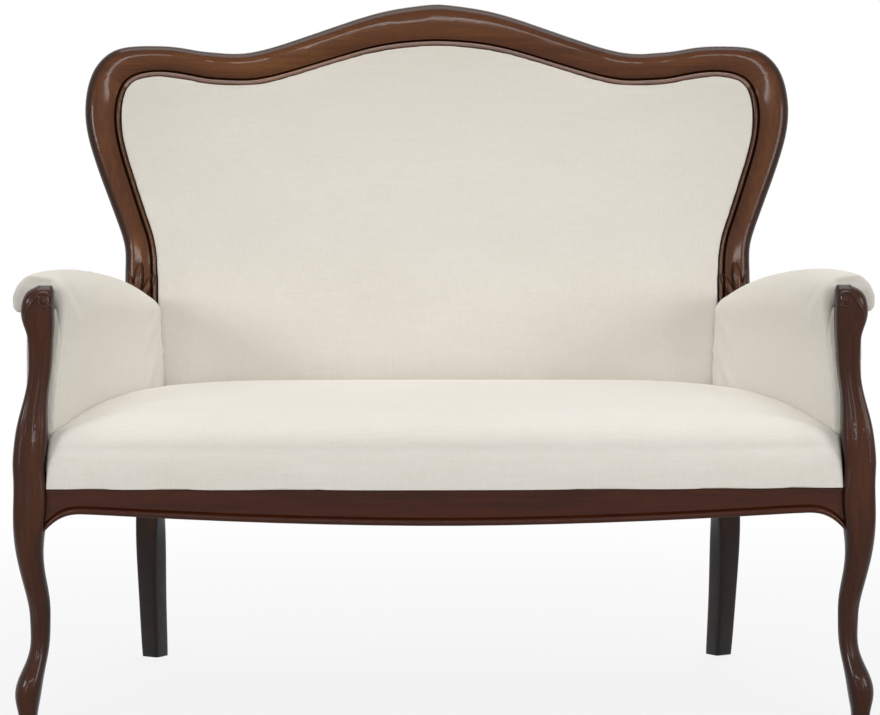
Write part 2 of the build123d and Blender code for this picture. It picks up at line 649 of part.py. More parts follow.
side_run = BLOCK_FRONT_Y - POST_BACK_Y
side_stations = [(POST_BACK_Y - SIDE_TENON_LENGTH, RAIL_END_DEPTH)]
side_stations += [(POST_BACK_Y + side_run * share, depth) for share, depth in SIDE_RAIL_SHAPE]
side_stations += [(BLOCK_FRONT_Y + REAR_TENON_LENGTH, REAR_RAIL_DEPTH)]
side_sections = []
for y, depth in side_stations:
    side_sections.append(rail_section(Plane((side_x(y), y, 0), x_dir=(1, 0, 0), z_dir=(0, -1, 0)), depth))

with BuildPart() as side_seat_rail_right:
    loft(side_sections)
    cut_by(front_post_right, rear_post_right, corner_screws)
side_seat_rail_left = mirrored(side_seat_rail_right)

with BuildPart() as back_stay_rail:
    with Locations(back_stay_middle):
        Box(2 * (back_stay_x + BACK_STAY_TENON), BACK_STAY_THICK, BACK_STAY_DEPTH)
    cut_by(rear_post_right, rear_post_left)

with BuildPart() as corner_blocks:
    over = BLOCKING_OVERLAP
    front_leg_y = front_corner[1] + BLOCKING_LEG
    rear_leg_y = rear_corner[1] - BLOCKING_LEG
    with BuildSketch(Plane.XY.offset(blocking_z)):
        with BuildLine():
            Polyline(
                (front_corner[0] + over, front_corner[1] - over),
                (front_corner[0] - BLOCKING_LEG, front_corner[1] - RAIL_BOW / 2),
                (front_corner[0] - BLOCKING_LEG, front_corner[1]),
                (side_x(front_leg_y) - RAIL_THICK, front_leg_y),
                (side_x(front_leg_y) - RAIL_THICK + over, front_leg_y),
                close=True,
            )
        make_face()
        with BuildLine():
            Polyline(
                (rear_corner[0] + over, rear_corner[1] + over),
                (rear_corner[0] - BLOCKING_LEG, rear_corner[1] + over),
                (rear_corner[0] - BLOCKING_LEG, rear_corner[1]),
                (side_x(rear_leg_y) - RAIL_THICK, rear_leg_y),
                (side_x(rear_leg_y) - RAIL_THICK + over, rear_leg_y),
                close=True,
            )
        make_face()
    extrude(amount=BLOCKING_HEIGHT)
    cut_by(front_post_right, rear_post_right, front_seat_rail, rear_seat_rail, side_seat_rail_right)
    cut_by(corner_screws, screw_bores)
    mirror(about=Plane.YZ)

# Arm frame
with BuildPart() as arm_rail_right:
    for y in (POST_BACK_Y - SIDE_TENON_LENGTH, arm_end_y + REAR_TENON_LENGTH):
        with BuildSketch(cross_plane(y)):
            with Locations((arm_x(y), arm_rail_z(y))):
                Rectangle(ARM_RAIL_WIDTH, ARM_RAIL_HEIGHT)
    loft()
    cut_by(front_post_right, rear_post_right)
arm_rail_left = mirrored(arm_rail_right)

with BuildPart() as arm_stay_rail_right:
    for y in (POST_BACK_Y - SIDE_TENON_LENGTH, stay_end_y + REAR_TENON_LENGTH):
        with BuildSketch(cross_plane(y)):
            with Locations((stay_x(y), ARM_STAY_HEIGHT)):
                Rectangle(ARM_STAY_WIDTH, ARM_STAY_DEPTH)
    loft()
    cut_by(front_post_right, rear_post_right)
arm_stay_rail_left = mirrored(arm_stay_rail_right)

# Seat: springs in clips, hessian, foam and cover
spring_rows = [SPRING_SPACING * (pair + 0.5) for pair in range(SPRING_PAIRS)]
rear_clip_y = BLOCK_Y


def front_clip_y(x):
    """Depth of a spring's front bar, over the middle of the bowed rail."""
    return RAIL_FACE_Y + rail_bow(x) + CLIP_SETBACK


def zigzag_spring(x):
    """One zigzag spring from the front rail to the rear rail."""
    pitch = (rear_clip_y - front_clip_y(x)) / (SPRING_BARS - 1)
    half_bar = (SPRING_WIDTH - pitch) / 2
    with BuildPart() as spring:
        with BuildLine(Plane.XY.offset(SPRING_Z)) as wire:
            for bar in range(SPRING_BARS):
                y = front_clip_y(x) + pitch * bar
                side = 1 if bar % 2 == 0 else -1
                Line((x - side * half_bar, y), (x + side * half_bar, y))
                if bar < SPRING_BARS - 1:
                    edge = x + side * half_bar
                    ThreePointArc((edge, y), (edge + side * pitch / 2, y + pitch / 2), (edge, y + pitch))
        with BuildSketch(Plane(wire.line @ 0, z_dir=wire.line % 0)):
            Circle(WIRE / 2)
        sweep()
    return spring


with BuildPart() as seat_springs:
    for x in spring_rows:
        add(zigzag_spring(x).part)
    mirror(about=Plane.YZ)

with BuildPart() as spring_clips:
    for x in spring_rows:
        for y, side in ((front_clip_y(x), 1), (rear_clip_y, -1)):
            with Locations((x, y, SPRING_Z)):
                Box(CLIP_WIDTH, CLIP_LENGTH, WIRE + 2 * CLIP)
            with Locations((x, y + side * CLIP_LENGTH / 2, SPRING_Z)):
                Box(CLIP_WIDTH, CLIP_LENGTH + WIRE + CLIP, WIRE, mode=Mode.SUBTRACT)
    mirror(about=Plane.YZ)

# Back: webbing in the frame's rebate, hessian, domed foam and cover, then a board and cover outside
dome_foam = back_dome(0.0, PAD_BACK)
dome_cover = back_dome(COVER, PAD_BACK)
dome_room = back_dome(COVER + LAY, REBATE)

with BuildPart() as back_foam:
    add(dome_foam.part)
    add(opening_slab(-PAD_FIT, PAD_ROOM, PAD_BACK, PAD_START).part, mode=Mode.INTERSECT)

with BuildPart() as back_cover:
    add(dome_cover.part)
    add(opening_slab(-PAD_FIT, PAD_ROOM, PAD_EDGE - COVER, PAD_START).part, mode=Mode.INTERSECT)
    cut_by(dome_foam)

with BuildPart() as back_hessian:
    add(opening_slab(-PAD_FIT, PAD_BACK, REBATE, PAD_START).part)

with BuildPart() as back_webbing:
    with BuildSketch(back_plane.offset(REBATE)):
        with GridLocations(BACK_STRAP_SPACING, 0, BACK_STRAPS, 1):
            with Locations((0, back_stay_level + BACK_RISE)):
                Rectangle(STRAP_WIDTH, 2 * BACK_RISE)
    extrude(amount=-STRAP)
    with BuildSketch(back_plane.offset(REBATE - STRAP)):
        for share in BACK_BELTS:
            with Locations((0, BACK_RISE * share)):
                Rectangle(KNEE_SPREAD, STRAP_WIDTH)
    extrude(amount=-STRAP)
    add(opening_slab(REBATE_WIDTH - PAD_FIT, REBATE, REBATE - 2 * STRAP).part, mode=Mode.INTERSECT)

with BuildPart() as outside_back_board:
    add(opening_slab(REBATE_WIDTH - 2 * LAY, BOARD - FRAME_THICK, -FRAME_THICK).part)
    clear_blocks()

with BuildPart() as outside_back_cover:
    add(opening_slab(REBATE_WIDTH + BACK_LAP, -FRAME_THICK - LAY, -FRAME_THICK - LAY - COVER).part)
    clear_blocks()

# Arms: webbing, foam that wraps the arm rail, cover and outside panel
arm_run = ARM_REAR_Y - ARM_FRONT_Y
arm_face_plane = back_plane.offset(ARM_FACE)


def arm_roll(row, grow):
    """Foot, tangent, top and end of the arm pad's outer line at one station, with the arcs' middles."""
    share, drop, radius, foot = row
    y = ARM_FRONT_Y + arm_run * share
    reach = radius + grow
    centre = Vector(arm_x(y), ARM_HEIGHT - drop - radius)
    start = Vector(side_x(y) - foot - grow, ARM_BASE)
    away = start - centre
    tangent = 2 * pi + atan2(away.Y, away.X) - acos(reach / away.length)
    end = radians(ROLL_END)
    angles = (tangent, (tangent + pi / 2) / 2, pi / 2, (pi / 2 + end) / 2, end)
    return [start] + [centre + Vector(cos(angle), sin(angle)) * reach for angle in angles]


def arm_foam_section(row, y):
    """Arm foam at one station: outside line, then back round the arm rail and down the webbing."""
    start, tangent, inner_arc, top, outer_arc, end = arm_roll(row, 0.0)
    rail = Vector(arm_x(y), arm_rail_z(y))
    right = rail.X + ARM_RAIL_WIDTH / 2 + LAY
    left = rail.X - ARM_RAIL_WIDTH / 2 - STRAP - LAY
    over = rail.Y + ARM_RAIL_HEIGHT / 2 + LAY
    with BuildSketch(cross_plane(y)) as section:
        with BuildLine():
            Line(start, tangent)
            ThreePointArc(tangent, inner_arc, top)
            ThreePointArc(top, outer_arc, end)
            Polyline(end, (right, rail.Y), (right, over), (left, over), (left, rail.Y - ARM_RAIL_HEIGHT / 2))
            Polyline((left, rail.Y - ARM_RAIL_HEIGHT / 2), (side_x(y) - FOAM_BACK, ARM_BASE), start)
        make_face()
    return section.sketch


def arm_cover_section(row, y, outer, inner):
    """Arm cover at one station, as a skin between two growths of the arm pad's outer line."""
    a_start, a_tangent, a_inner, a_top, a_outer, a_end = arm_roll(row, outer)
    b_start, b_tangent, b_inner, b_top, b_outer, b_end = arm_roll(row, inner)
    with BuildSketch(cross_plane(y)) as section:
        with BuildLine():
            Line(a_start, a_tangent)
            ThreePointArc(a_tangent, a_inner, a_top)
            ThreePointArc(a_top, a_outer, a_end)
            Line(a_end, b_end)
            ThreePointArc(b_end, b_outer, b_top)
            ThreePointArc(b_top, b_inner, b_tangent)
            Polyline(b_tangent, b_start, a_start)
        make_face()
    return section.sketch


def arm_block_section(row, y, grow):
    """Whole arm at one station, out past the side rail: what the seat is cut to."""
    start, tangent, inner_arc, top, outer_arc, end = arm_roll(row, grow)
    beyond = side_x(y) + RAIL_THICK
    with BuildSketch(cross_plane(y)) as section:
        with BuildLine():
            Line(start, tangent)
            ThreePointArc(tangent, inner_arc, top)
            Polyline(top, (beyond, top.Y), (beyond, ARM_BASE), start)
        make_face()
    return section.sketch


def arm_facing_outline():
    """Outline of the arm's front end, cover included, behind the post."""
    start, tangent, inner_arc, top, outer_arc, end = arm_roll(ARM_SHAPE[0], COVER + LAY)
    inner_x = panel_line(ARM_FRONT_Y)[0][0]
    with BuildSketch(cross_plane(ARM_FRONT_Y)) as outline:
        with BuildLine():
            Line(start, tangent)
            ThreePointArc(tangent, inner_arc, top)
            ThreePointArc(top, outer_arc, end)
            Polyline(end, (inner_x, ARM_RAIL_FRONT - ARM_RAIL_HEIGHT / 2), (inner_x, ARM_BASE), start)
        make_face()
    return outline.sketch


arm_rows = [(row, ARM_FRONT_Y + arm_run * row[0]) for row in ARM_SHAPE]
arm_strap_rows = [POST_BACK_Y + side_run * share for share in ARM_STRAPS]

with BuildPart() as arm_foam_right:
    loft([arm_foam_section(row, y) for row, y in arm_rows])
    split(bisect_by=arm_face_plane, keep=Keep.TOP)
    clear_blocks()
arm_foam_left = mirrored(arm_foam_right)

with BuildPart() as arm_cover_right:
    loft([arm_cover_section(row, y, COVER + LAY, LAY) for row, y in arm_rows])
    split(bisect_by=arm_face_plane, keep=Keep.TOP)
    clear_blocks()
arm_cover_left = mirrored(arm_cover_right)

with BuildPart() as arm_room:
    loft([arm_block_section(row, y, COVER + 2 * LAY) for row, y in arm_rows])
    mirror(about=Plane.YZ)

with BuildPart() as arm_webbing_right:
    for y in arm_strap_rows:
        strap = []
        for edge in (y - STRAP_WIDTH / 2, y + STRAP_WIDTH / 2):
            with BuildSketch(cross_plane(edge)) as section:
                with BuildLine():
                    foot, head = strap_line(edge)
                    top = (head[0], arm_rail_z(edge) + STRAP_LAP / 2)
                    face = [(foot[0], RAIL_TOP - STRAP_LAP), foot, head, top]
                    Polyline(*face, *[(x - STRAP, z) for x, z in face[::-1]], close=True)
                make_face()
            strap.append(section.sketch)
        loft(strap, ruled=True)
    cut_by(corner_blocks)
arm_webbing_left = mirrored(arm_webbing_right)

with BuildPart() as outside_arm_panel_right:
    panel = []
    for y in (ARM_FRONT_Y, ARM_REAR_Y):
        with BuildSketch(cross_plane(y)) as section:
            with BuildLine():
                face = panel_line(y)
                Polyline(*face, *[(x + OUTSIDE_PANEL, z) for x, z in face[::-1]], close=True)
            make_face()
        panel.append(section.sketch)
    loft(panel, ruled=True)
    split(bisect_by=arm_face_plane, keep=Keep.TOP)
    clear_blocks()
    cut_by(arm_rail_right, arm_stay_rail_right, arm_foam_right)
outside_arm_panel_left = mirrored(outside_arm_panel_right)

# Seat pad, cut to the arms and the back
seat_half = SHOULDER_X - SEAT_POST_FIT


def seat_section(x, drop, grow, base):
    """Seat pad's side view at one place: boxed front, rolled front edge, crowned top."""
    front = SEAT_FRONT_Y + COVER + rail_bow(x) - grow
    rear = BACK_Y
    top = SEAT_HEIGHT - COVER + grow
    nose = FOAM_Z + SEAT_BOXING - SEAT_NOSE_FALL * drop + grow / 2
    brow = top - SEAT_BROW - drop
    crown = top - SEAT_CROWN_FALL * drop
    tail = crown - SEAT_TAIL
    roll = (front + SEAT_NOSE * SEAT_ROUND[0], nose + (brow - nose) * SEAT_ROUND[1])
    with BuildSketch(Plane((x, 0, 0), x_dir=(0, 1, 0), z_dir=(1, 0, 0))) as section:
        with BuildLine():
            ThreePointArc((front, base), (front - SEAT_SWELL, (base + nose) / 2), (front, nose))
            ThreePointArc((front, nose), roll, (front + SEAT_NOSE, brow))
            ThreePointArc((front + SEAT_NOSE, brow), ((front + rear) / 2, crown), (rear, tail))
            Polyline((rear, tail), (rear, base), (front, base))
        make_face()
    return section.sketch


def seat_form(grow, base):
    """Seat pad before it is cut to its neighbours."""
    half = [(seat_half * share, drop) for share, drop in SEAT_SHAPE]
    rows = [(-x, drop) for x, drop in half[:0:-1]] + half
    with BuildPart() as form:
        loft([seat_section(x, drop, grow, base) for x, drop in rows])
        cut_by(arm_room, dome_room)
        seat = form.part.solids().sort_by(SortBy.VOLUME)[-1]
    return seat


foam_solid = seat_form(0.0, FOAM_Z)
skin_solid = seat_form(COVER, RAIL_TOP + LAY)
core_solid = seat_form(0.0, RAIL_TOP - RAIL_EDGE)

with BuildPart() as seat_foam:
    add(foam_solid)

with BuildPart() as seat_cover:
    add(skin_solid)
    add(core_solid, mode=Mode.SUBTRACT)

# Facing that closes each arm's front end, scribed to the rails, the post and the seat
with BuildPart() as arm_facing_right:
    extrude(arm_facing_outline(), amount=COVER)
    cut_by(arm_rail_right, arm_stay_rail_right, front_post_right, seat_foam, seat_cover)
arm_facing_left = mirrored(arm_facing_right)

with BuildPart() as seat_hessian:
    hessian_front = RAIL_FACE_Y + RAIL_BOW + RAIL_EDGE
    hessian_rear = BLOCK_Y + REAR_RAIL_THICK / 2
    edge = max(row[3] for row in ARM_SHAPE) + COVER
    with BuildSketch(Plane.XY.offset(HESSIAN_Z)):
        with BuildLine():
            right = [(side_x(y) - edge, y) for y in (hessian_front, hessian_rear)]
            Polyline(*right, *[(-x, y) for x, y in right[::-1]], close=True)
        make_face()
    extrude(amount=HESSIAN)

with BuildPart() as dust_cover:
    side_front = POST_BACK_Y + LAY
    side_rear = BLOCK_FRONT_Y - LAY
    rail_back = RAIL_FACE_Y + RAIL_THICK + LAY
    right = [
        (SHOULDER_X - LAY, rail_back + RAIL_BOW),
        (SHOULDER_X - LAY, side_front),
        (side_x(side_front) - RAIL_THICK - LAY, side_front),
        (side_x(side_rear) - RAIL_THICK - LAY, side_rear),
        (REAR_LEG_X - BLOCK_WIDTH / 2 - LAY, side_rear),
        (REAR_LEG_X - BLOCK_WIDTH / 2 - LAY, BLOCK_Y - REAR_RAIL_THICK / 2 - LAY),
    ]
    left = [(-x, y) for x, y in right[::-1]]
    with BuildSketch(Plane.XY.offset(RAIL_TOP - REAR_RAIL_DEPTH + DUST_COVER)):
        with BuildLine():
            Polyline(*right, *left)
            ThreePointArc(left[-1], (0, rail_back), right[0])
        make_face()
    extrude(amount=-DUST_COVER)
    cut_by(front_post_left, front_post_right)

pieces = {
    "front_post_left": front_post_left,
    "front_post_right": front_post_right,
    "rear_post_left": rear_post_left,
    "rear_post_right": rear_post_right,
    "crest_rail": crest_rail,
    "crest_dowels": crest_dowels,
    "front_seat_rail": front_seat_rail,
    "rear_seat_rail": rear_seat_rail,
    "side_seat_rail_left": side_seat_rail_left,
    "side_seat_rail_right": side_seat_rail_right,
    "back_stay_rail": back_stay_rail,
    "centre_brace": centre_brace,
    "corner_blocks": corner_blocks,
    "corner_screws": corner_screws,
    "arm_rail_left": arm_rail_left,
    "arm_rail_right": arm_rail_right,
    "arm_stay_rail_left": arm_stay_rail_left,
    "arm_stay_rail_right": arm_stay_rail_right,
    "seat_springs": seat_springs,
    "spring_clips": spring_clips,
    "seat_hessian": seat_hessian,
    "seat_foam": seat_foam,
    "seat_cover": seat_cover,
    "dust_cover": dust_cover,
    "back_webbing": back_webbing,
    "back_hessian": back_hessian,
    "back_foam": back_foam,
    "back_cover": back_cover,
    "outside_back_board": outside_back_board,
    "outside_back_cover": outside_back_cover,
    "arm_webbing_left": arm_webbing_left,
    "arm_webbing_right": arm_webbing_right,
    "arm_foam_left": arm_foam_left,
    "arm_foam_right": arm_foam_right,
    "arm_cover_left": arm_cover_left,
    "arm_cover_right": arm_cover_right,
    "arm_facing_left": arm_facing_left,
    "arm_facing_right": arm_facing_right,
    "outside_arm_panel_left": outside_arm_panel_left,
    "outside_arm_panel_right": outside_arm_panel_right,
}

os.makedirs("parts", exist_ok=True)
for name, piece in pieces.items():
    piece.part.label = name
    export_step(piece.part, f"parts/{name}.step")
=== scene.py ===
import math

import bmesh
import bpy
import numpy as np
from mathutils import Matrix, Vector, noise
from mathutils.bvhtree import BVHTree


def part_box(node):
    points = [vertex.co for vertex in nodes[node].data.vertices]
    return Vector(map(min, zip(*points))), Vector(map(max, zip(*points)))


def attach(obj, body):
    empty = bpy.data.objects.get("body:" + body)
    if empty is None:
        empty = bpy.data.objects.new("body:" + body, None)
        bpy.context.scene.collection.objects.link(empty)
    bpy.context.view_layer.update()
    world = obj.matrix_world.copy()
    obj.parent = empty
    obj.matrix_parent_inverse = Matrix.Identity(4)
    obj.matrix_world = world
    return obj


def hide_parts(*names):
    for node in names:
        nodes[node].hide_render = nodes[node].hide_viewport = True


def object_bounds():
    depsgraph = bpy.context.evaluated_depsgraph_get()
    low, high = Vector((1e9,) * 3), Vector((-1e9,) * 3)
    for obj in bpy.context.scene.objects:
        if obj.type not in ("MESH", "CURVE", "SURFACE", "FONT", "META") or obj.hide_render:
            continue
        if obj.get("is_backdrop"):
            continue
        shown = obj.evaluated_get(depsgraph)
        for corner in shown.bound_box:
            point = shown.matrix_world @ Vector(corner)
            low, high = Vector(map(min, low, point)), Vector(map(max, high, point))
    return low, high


# A two-seat settee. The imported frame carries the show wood; the upholstery is built here, in metres,
# in the same frame.
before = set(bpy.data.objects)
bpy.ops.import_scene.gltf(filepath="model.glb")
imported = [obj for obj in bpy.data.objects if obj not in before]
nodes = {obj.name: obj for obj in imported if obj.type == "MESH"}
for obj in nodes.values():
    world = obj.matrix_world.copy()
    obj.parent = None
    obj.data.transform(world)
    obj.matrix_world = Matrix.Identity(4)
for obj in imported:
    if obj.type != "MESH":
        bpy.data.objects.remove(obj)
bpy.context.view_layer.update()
scene = bpy.context.scene

LEAN = math.radians(9.5)  # back from upright
BACK_ORIGIN = Vector((0.0, 0.2027, 0.450))  # face of the back frame at the datum height
BACK_NORMAL = Vector((0.0, -math.cos(LEAN), math.sin(LEAN)))
BACK_UP = Vector((0.0, math.sin(LEAN), math.cos(LEAN)))
RAIL_TOP = 0.345
RAIL_BOW = 0.024  # of the front rail, forward in the middle
SIDES = (("left", -1), ("right", 1))
AHEAD = Vector((0, 1, 0))  # from the front into the settee


# Materials

def new_material(name):
    material = bpy.data.materials.new(name)
    material.use_nodes = True
    tree = material.node_tree
    tree.nodes.clear()
    output = tree.nodes.new("ShaderNodeOutputMaterial")
    shader = tree.nodes.new("ShaderNodeBsdfPrincipled")
    tree.links.new(shader.outputs["BSDF"], output.inputs["Surface"])
    return material, tree, shader


def place(tree, kind, **values):
    node = tree.nodes.new(kind)
    for key, value in values.items():
        if key in node.inputs:
            node.inputs[key].default_value = value
        else:
            setattr(node, key, value)
    return node


def ramp(tree, source, stops):
    node = tree.nodes.new("ShaderNodeValToRGB")
    while len(node.color_ramp.elements) < len(stops):
        node.color_ramp.elements.new(0.5)
    for element, (position, colour) in zip(node.color_ramp.elements, stops):
        element.position = position
        element.color = (*colour, 1.0)
    tree.links.new(source, node.inputs["Fac"])
    return node.outputs["Color"]


def math_node(tree, operation, a, b=None, c=None):
    node = tree.nodes.new("ShaderNodeMath")
    node.operation = operation
    for socket, value in zip(node.inputs, (a, b, c)):
        if value is None:
            continue
        if isinstance(value, (int, float)):
            socket.default_value = value
        else:
            tree.links.new(value, socket)
    return node.outputs[0]


def stretched_noise(tree, coordinates, axis, along, across, detail=4.0, offset=0.0):
    scale = [across] * 3
    scale["XYZ".index(axis)] = along
    mapping = place(tree, "ShaderNodeMapping", Scale=scale, Location=(offset, offset * 0.7, offset * 1.3))
    tree.links.new(coordinates, mapping.inputs["Vector"])
    texture = place(tree, "ShaderNodeTexNoise", Scale=1.0, Detail=detail, Roughness=0.55)
    tree.links.new(mapping.outputs["Vector"], texture.inputs["Vector"])
    return texture.outputs["Fac"]


def split_vector(tree, vector):
    node = tree.nodes.new("ShaderNodeSeparateXYZ")
    tree.links.new(vector, node.inputs[0])
    return node.outputs


def multiplied(tree, colour, shade, share=1.0):
    node = place(tree, "ShaderNodeMix", data_type="RGBA", blend_type="MULTIPLY")
    node.inputs["Factor"].default_value = share
    tree.links.new(colour, node.inputs[6])
    tree.links.new(shade, node.inputs[7])
    return node.outputs[2]


PLAIN = (1.0, 1.0, 1.0)
FIGURE_SHARE = 0.62  # of the wood's slow figure in its colour; the rest is streaks
PORE_SHARE = 0.8  # of the pores' darkening that shows
POLISH_RANGE = 0.16  # by which the polish's roughness varies


def wood(name, axis, dark, middle, light, gloss, low_shade=None, face=None, turned_shade=None):
    """Wood with its grain along one axis: slow figure, streaks, fine pores, uneven polish.

    face is the direction of its show face. Two optional ramps paint shade into its colour: one by height,
    darker low down, and one that darkens what turns away from the show face.
    """
    material, tree, shader = new_material(name)
    coordinates = place(tree, "ShaderNodeTexCoord").outputs["Object"]
    figure = stretched_noise(tree, coordinates, axis, 2.2, 17.0, 3.0)
    streak = stretched_noise(tree, coordinates, axis, 9.0, 190.0, 5.0, 3.1)
    pores = stretched_noise(tree, coordinates, axis, 60.0, 1500.0, 2.0, 7.7)
    mixed = math_node(
        tree, "ADD",
        math_node(tree, "MULTIPLY", figure, FIGURE_SHARE),
        math_node(tree, "MULTIPLY", streak, 1 - FIGURE_SHARE),
    )
    colour = ramp(tree, mixed, [(0.30, dark), (0.52, middle), (0.72, light)])
    pore_mask = ramp(tree, pores, [(0.56, PLAIN), (0.68, (0.55, 0.50, 0.46))])
    stained = multiplied(tree, colour, pore_mask, PORE_SHARE)
    # Painted shade by height, darker low down
    if low_shade is not None:
        stained = multiplied(tree, stained, ramp(tree, split_vector(tree, coordinates)["Z"], low_shade))
    # Painted shade where the surface turns away from the show face
    if face is not None:
        turned = tree.nodes.new("ShaderNodeVectorMath")
        turned.operation = "DOT_PRODUCT"
        turned.inputs[1].default_value = face
        tree.links.new(tree.nodes.new("ShaderNodeNewGeometry").outputs["Normal"], turned.inputs[0])
        facing = math_node(tree, "ABSOLUTE", turned.outputs["Value"])
        stained = multiplied(tree, stained, ramp(tree, facing, turned_shade))
    tree.links.new(stained, shader.inputs["Base Color"])
    polish = stretched_noise(tree, coordinates, axis, 7.0, 22.0, 3.0, 5.2)
    uneven = math_node(tree, "MULTIPLY_ADD", polish, POLISH_RANGE, gloss - POLISH_RANGE / 2)
    tree.links.new(uneven, shader.inputs["Roughness"])
    bump = place(tree, "ShaderNodeBump", Strength=0.22, Distance=0.0006)
    height = math_node(tree, "ADD", streak, math_node(tree, "MULTIPLY", pores, -0.5))
    tree.links.new(height, bump.inputs["Height"])
    tree.links.new(bump.outputs["Normal"], shader.inputs["Normal"])
    return material, shader


# Painted shade: the frame and posts darken where their surfaces turn away from the show face, as their sides
# fall into shade
SIDE_SHADE_DEEP, SIDE_SHADE_THIN = (0.26, 0.24, 0.25), (0.64, 0.60, 0.60)
FRAME_SIDE_SHADE = [(0.40, SIDE_SHADE_DEEP), (0.78, SIDE_SHADE_DEEP), (0.93, SIDE_SHADE_THIN), (0.985, PLAIN)]
POST_SIDE_SHADE = [(0.40, (0.52, 0.50, 0.50)), (0.95, PLAIN)]


def show_wood(name, axis, tone, low_shade=None, face=None, turned_shade=None):
    """Polished mahogany; tone is how light the piece's stain came out, in red, green and blue."""
    stains = ((0.058, 0.0165, 0.0045), (0.110, 0.0360, 0.0095), (0.175, 0.0670, 0.0190))
    dark, middle, light = (tuple(t * c for t, c in zip(tone, stain)) for stain in stains)
    material, shader = wood(name, axis, dark, middle, light, 0.36, low_shade, face, turned_shade)
    shader.inputs["Specular IOR Level"].default_value = 0.08
    shader.inputs["Coat Weight"].default_value = 0.26
    shader.inputs["Coat Roughness"].default_value = 0.09
    return material


def plain_wood(axis):
    stains = ((0.34, 0.23, 0.13), (0.46, 0.33, 0.20), (0.55, 0.42, 0.27))
    return wood("beech_" + axis.lower(), axis, *stains, 0.62)[0]


DARKENING_CLOUDS = 0.16  # how far the clouds in the cloth shift the darkening by height up or down, in metres; on the back it is painted shade
SLUB_TONE, CLOUD_TONE, WEAVE_TONE = 0.55, 0.65, 0.10  # how far each shifts a cloth between its two tones
MATT_RANGE = 0.12  # by which a cloth's roughness varies


def weave_height(tree, coordinates, pitch):
    """Plain weave from object coordinates, projected along each axis and blended by the surface's turn."""
    spot = split_vector(tree, coordinates)
    waves = {}
    for axis in "XYZ":
        phase = math_node(tree, "MULTIPLY", spot[axis], 2 * math.pi / pitch)
        waves[axis] = math_node(tree, "SINE", phase)
    normal = split_vector(tree, tree.nodes.new("ShaderNodeNewGeometry").outputs["Normal"])
    total = None
    for axis, first, second in (("X", "Y", "Z"), ("Y", "X", "Z"), ("Z", "X", "Y")):
        woven = math_node(tree, "MULTIPLY", waves[first], waves[second])
        share = math_node(tree, "POWER", math_node(tree, "ABSOLUTE", normal[axis]), 2.0)
        part = math_node(tree, "MULTIPLY", woven, share)
        total = part if total is None else math_node(tree, "ADD", total, part)
    return total


def cloth(name, base, deep, pitch, sheen, roughness=0.82, slub=1.0, top_darkening=None):
    """Woven cloth: plain weave, slubs both ways, faint clouds, matt with a soft sheen.

    An optional ramp darkens it by height; on the inside back that is painted shade.
    """
    material, tree, shader = new_material(name)
    coordinates = place(tree, "ShaderNodeTexCoord").outputs["Object"]
    weave = weave_height(tree, coordinates, pitch)
    level = stretched_noise(tree, coordinates, "X", 14.0, 420.0, 3.0)
    upright = stretched_noise(tree, coordinates, "Z", 16.0, 420.0, 3.0, 4.4)
    cloudy = stretched_noise(tree, coordinates, "X", 3.2, 4.1, 3.0, 9.0)
    slubs = math_node(tree, "ADD", level, upright)
    shift = math_node(tree, "SUBTRACT", cloudy, 0.5)
    tone = math_node(tree, "MULTIPLY_ADD", math_node(tree, "SUBTRACT", slubs, 1.0), SLUB_TONE * slub, 0.5)
    tone = math_node(tree, "MULTIPLY_ADD", shift, CLOUD_TONE, tone)
    tone = math_node(tree, "MULTIPLY_ADD", weave, WEAVE_TONE, tone)
    colour = ramp(tree, tone, [(0.18, deep), (0.72, base)])
    # Darkening by height; on the inside back it is painted shade
    if top_darkening is not None:
        height = math_node(tree, "MULTIPLY_ADD", shift, DARKENING_CLOUDS, split_vector(tree, coordinates)["Z"])
        colour = multiplied(tree, colour, ramp(tree, height, top_darkening))
    tree.links.new(colour, shader.inputs["Base Color"])
    uneven = math_node(tree, "MULTIPLY_ADD", cloudy, MATT_RANGE, roughness - MATT_RANGE / 2)
    tree.links.new(uneven, shader.inputs["Roughness"])
    bump = place(tree, "ShaderNodeBump", Strength=0.35, Distance=0.0007)
    height = math_node(tree, "ADD", math_node(tree, "MULTIPLY", weave, 0.6), slubs)
    tree.links.new(height, bump.inputs["Height"])
    tree.links.new(bump.outputs["Normal"], shader.inputs["Normal"])
    shader.inputs["Specular IOR Level"].default_value = 0.25
    shader.inputs["Sheen Weight"].default_value = sheen
    shader.inputs["Sheen Roughness"].default_value = 0.45
    return material


def steel(name, colour, roughness):
    material, tree, shader = new_material(name)
    coordinates = place(tree, "ShaderNodeTexCoord").outputs["Object"]
    mottle = stretched_noise(tree, coordinates, "Z", 90.0, 140.0, 4.0)
    darker = tuple(0.6 * c for c in colour)
    tree.links.new(ramp(tree, mottle, [(0.35, darker), (0.65, colour)]), shader.inputs["Base Color"])
    tree.links.new(math_node(tree, "MULTIPLY_ADD", mottle, 0.2, roughness - 0.1), shader.inputs["Roughness"])
    shader.inputs["Metallic"].default_value = 1.0
    return material


# Painted shade on the rear legs under the seat, fading out a little above the seat rail; darkest over the
# last few centimetres at the foot
FOOT_DARK, LEG_SHADE = (0.10, 0.11, 0.12), (0.42, 0.40, 0.42)
REAR_LEG_SHADE = [(0.010, FOOT_DARK), (0.040, LEG_SHADE), (0.350, LEG_SHADE), (0.480, PLAIN)]
CREST_WOOD = show_wood("mahogany_crest", "X", (0.94, 0.90, 0.80), None, BACK_NORMAL, FRAME_SIDE_SHADE)
STILE_WOOD = show_wood("mahogany_stile", "Z", (0.92, 0.88, 0.80), REAR_LEG_SHADE, BACK_NORMAL, FRAME_SIDE_SHADE)
POST_WOOD = show_wood("mahogany_post", "Z", (0.42, 0.31, 0.30), None, (0.0, -1.0, 0.0), POST_SIDE_SHADE)
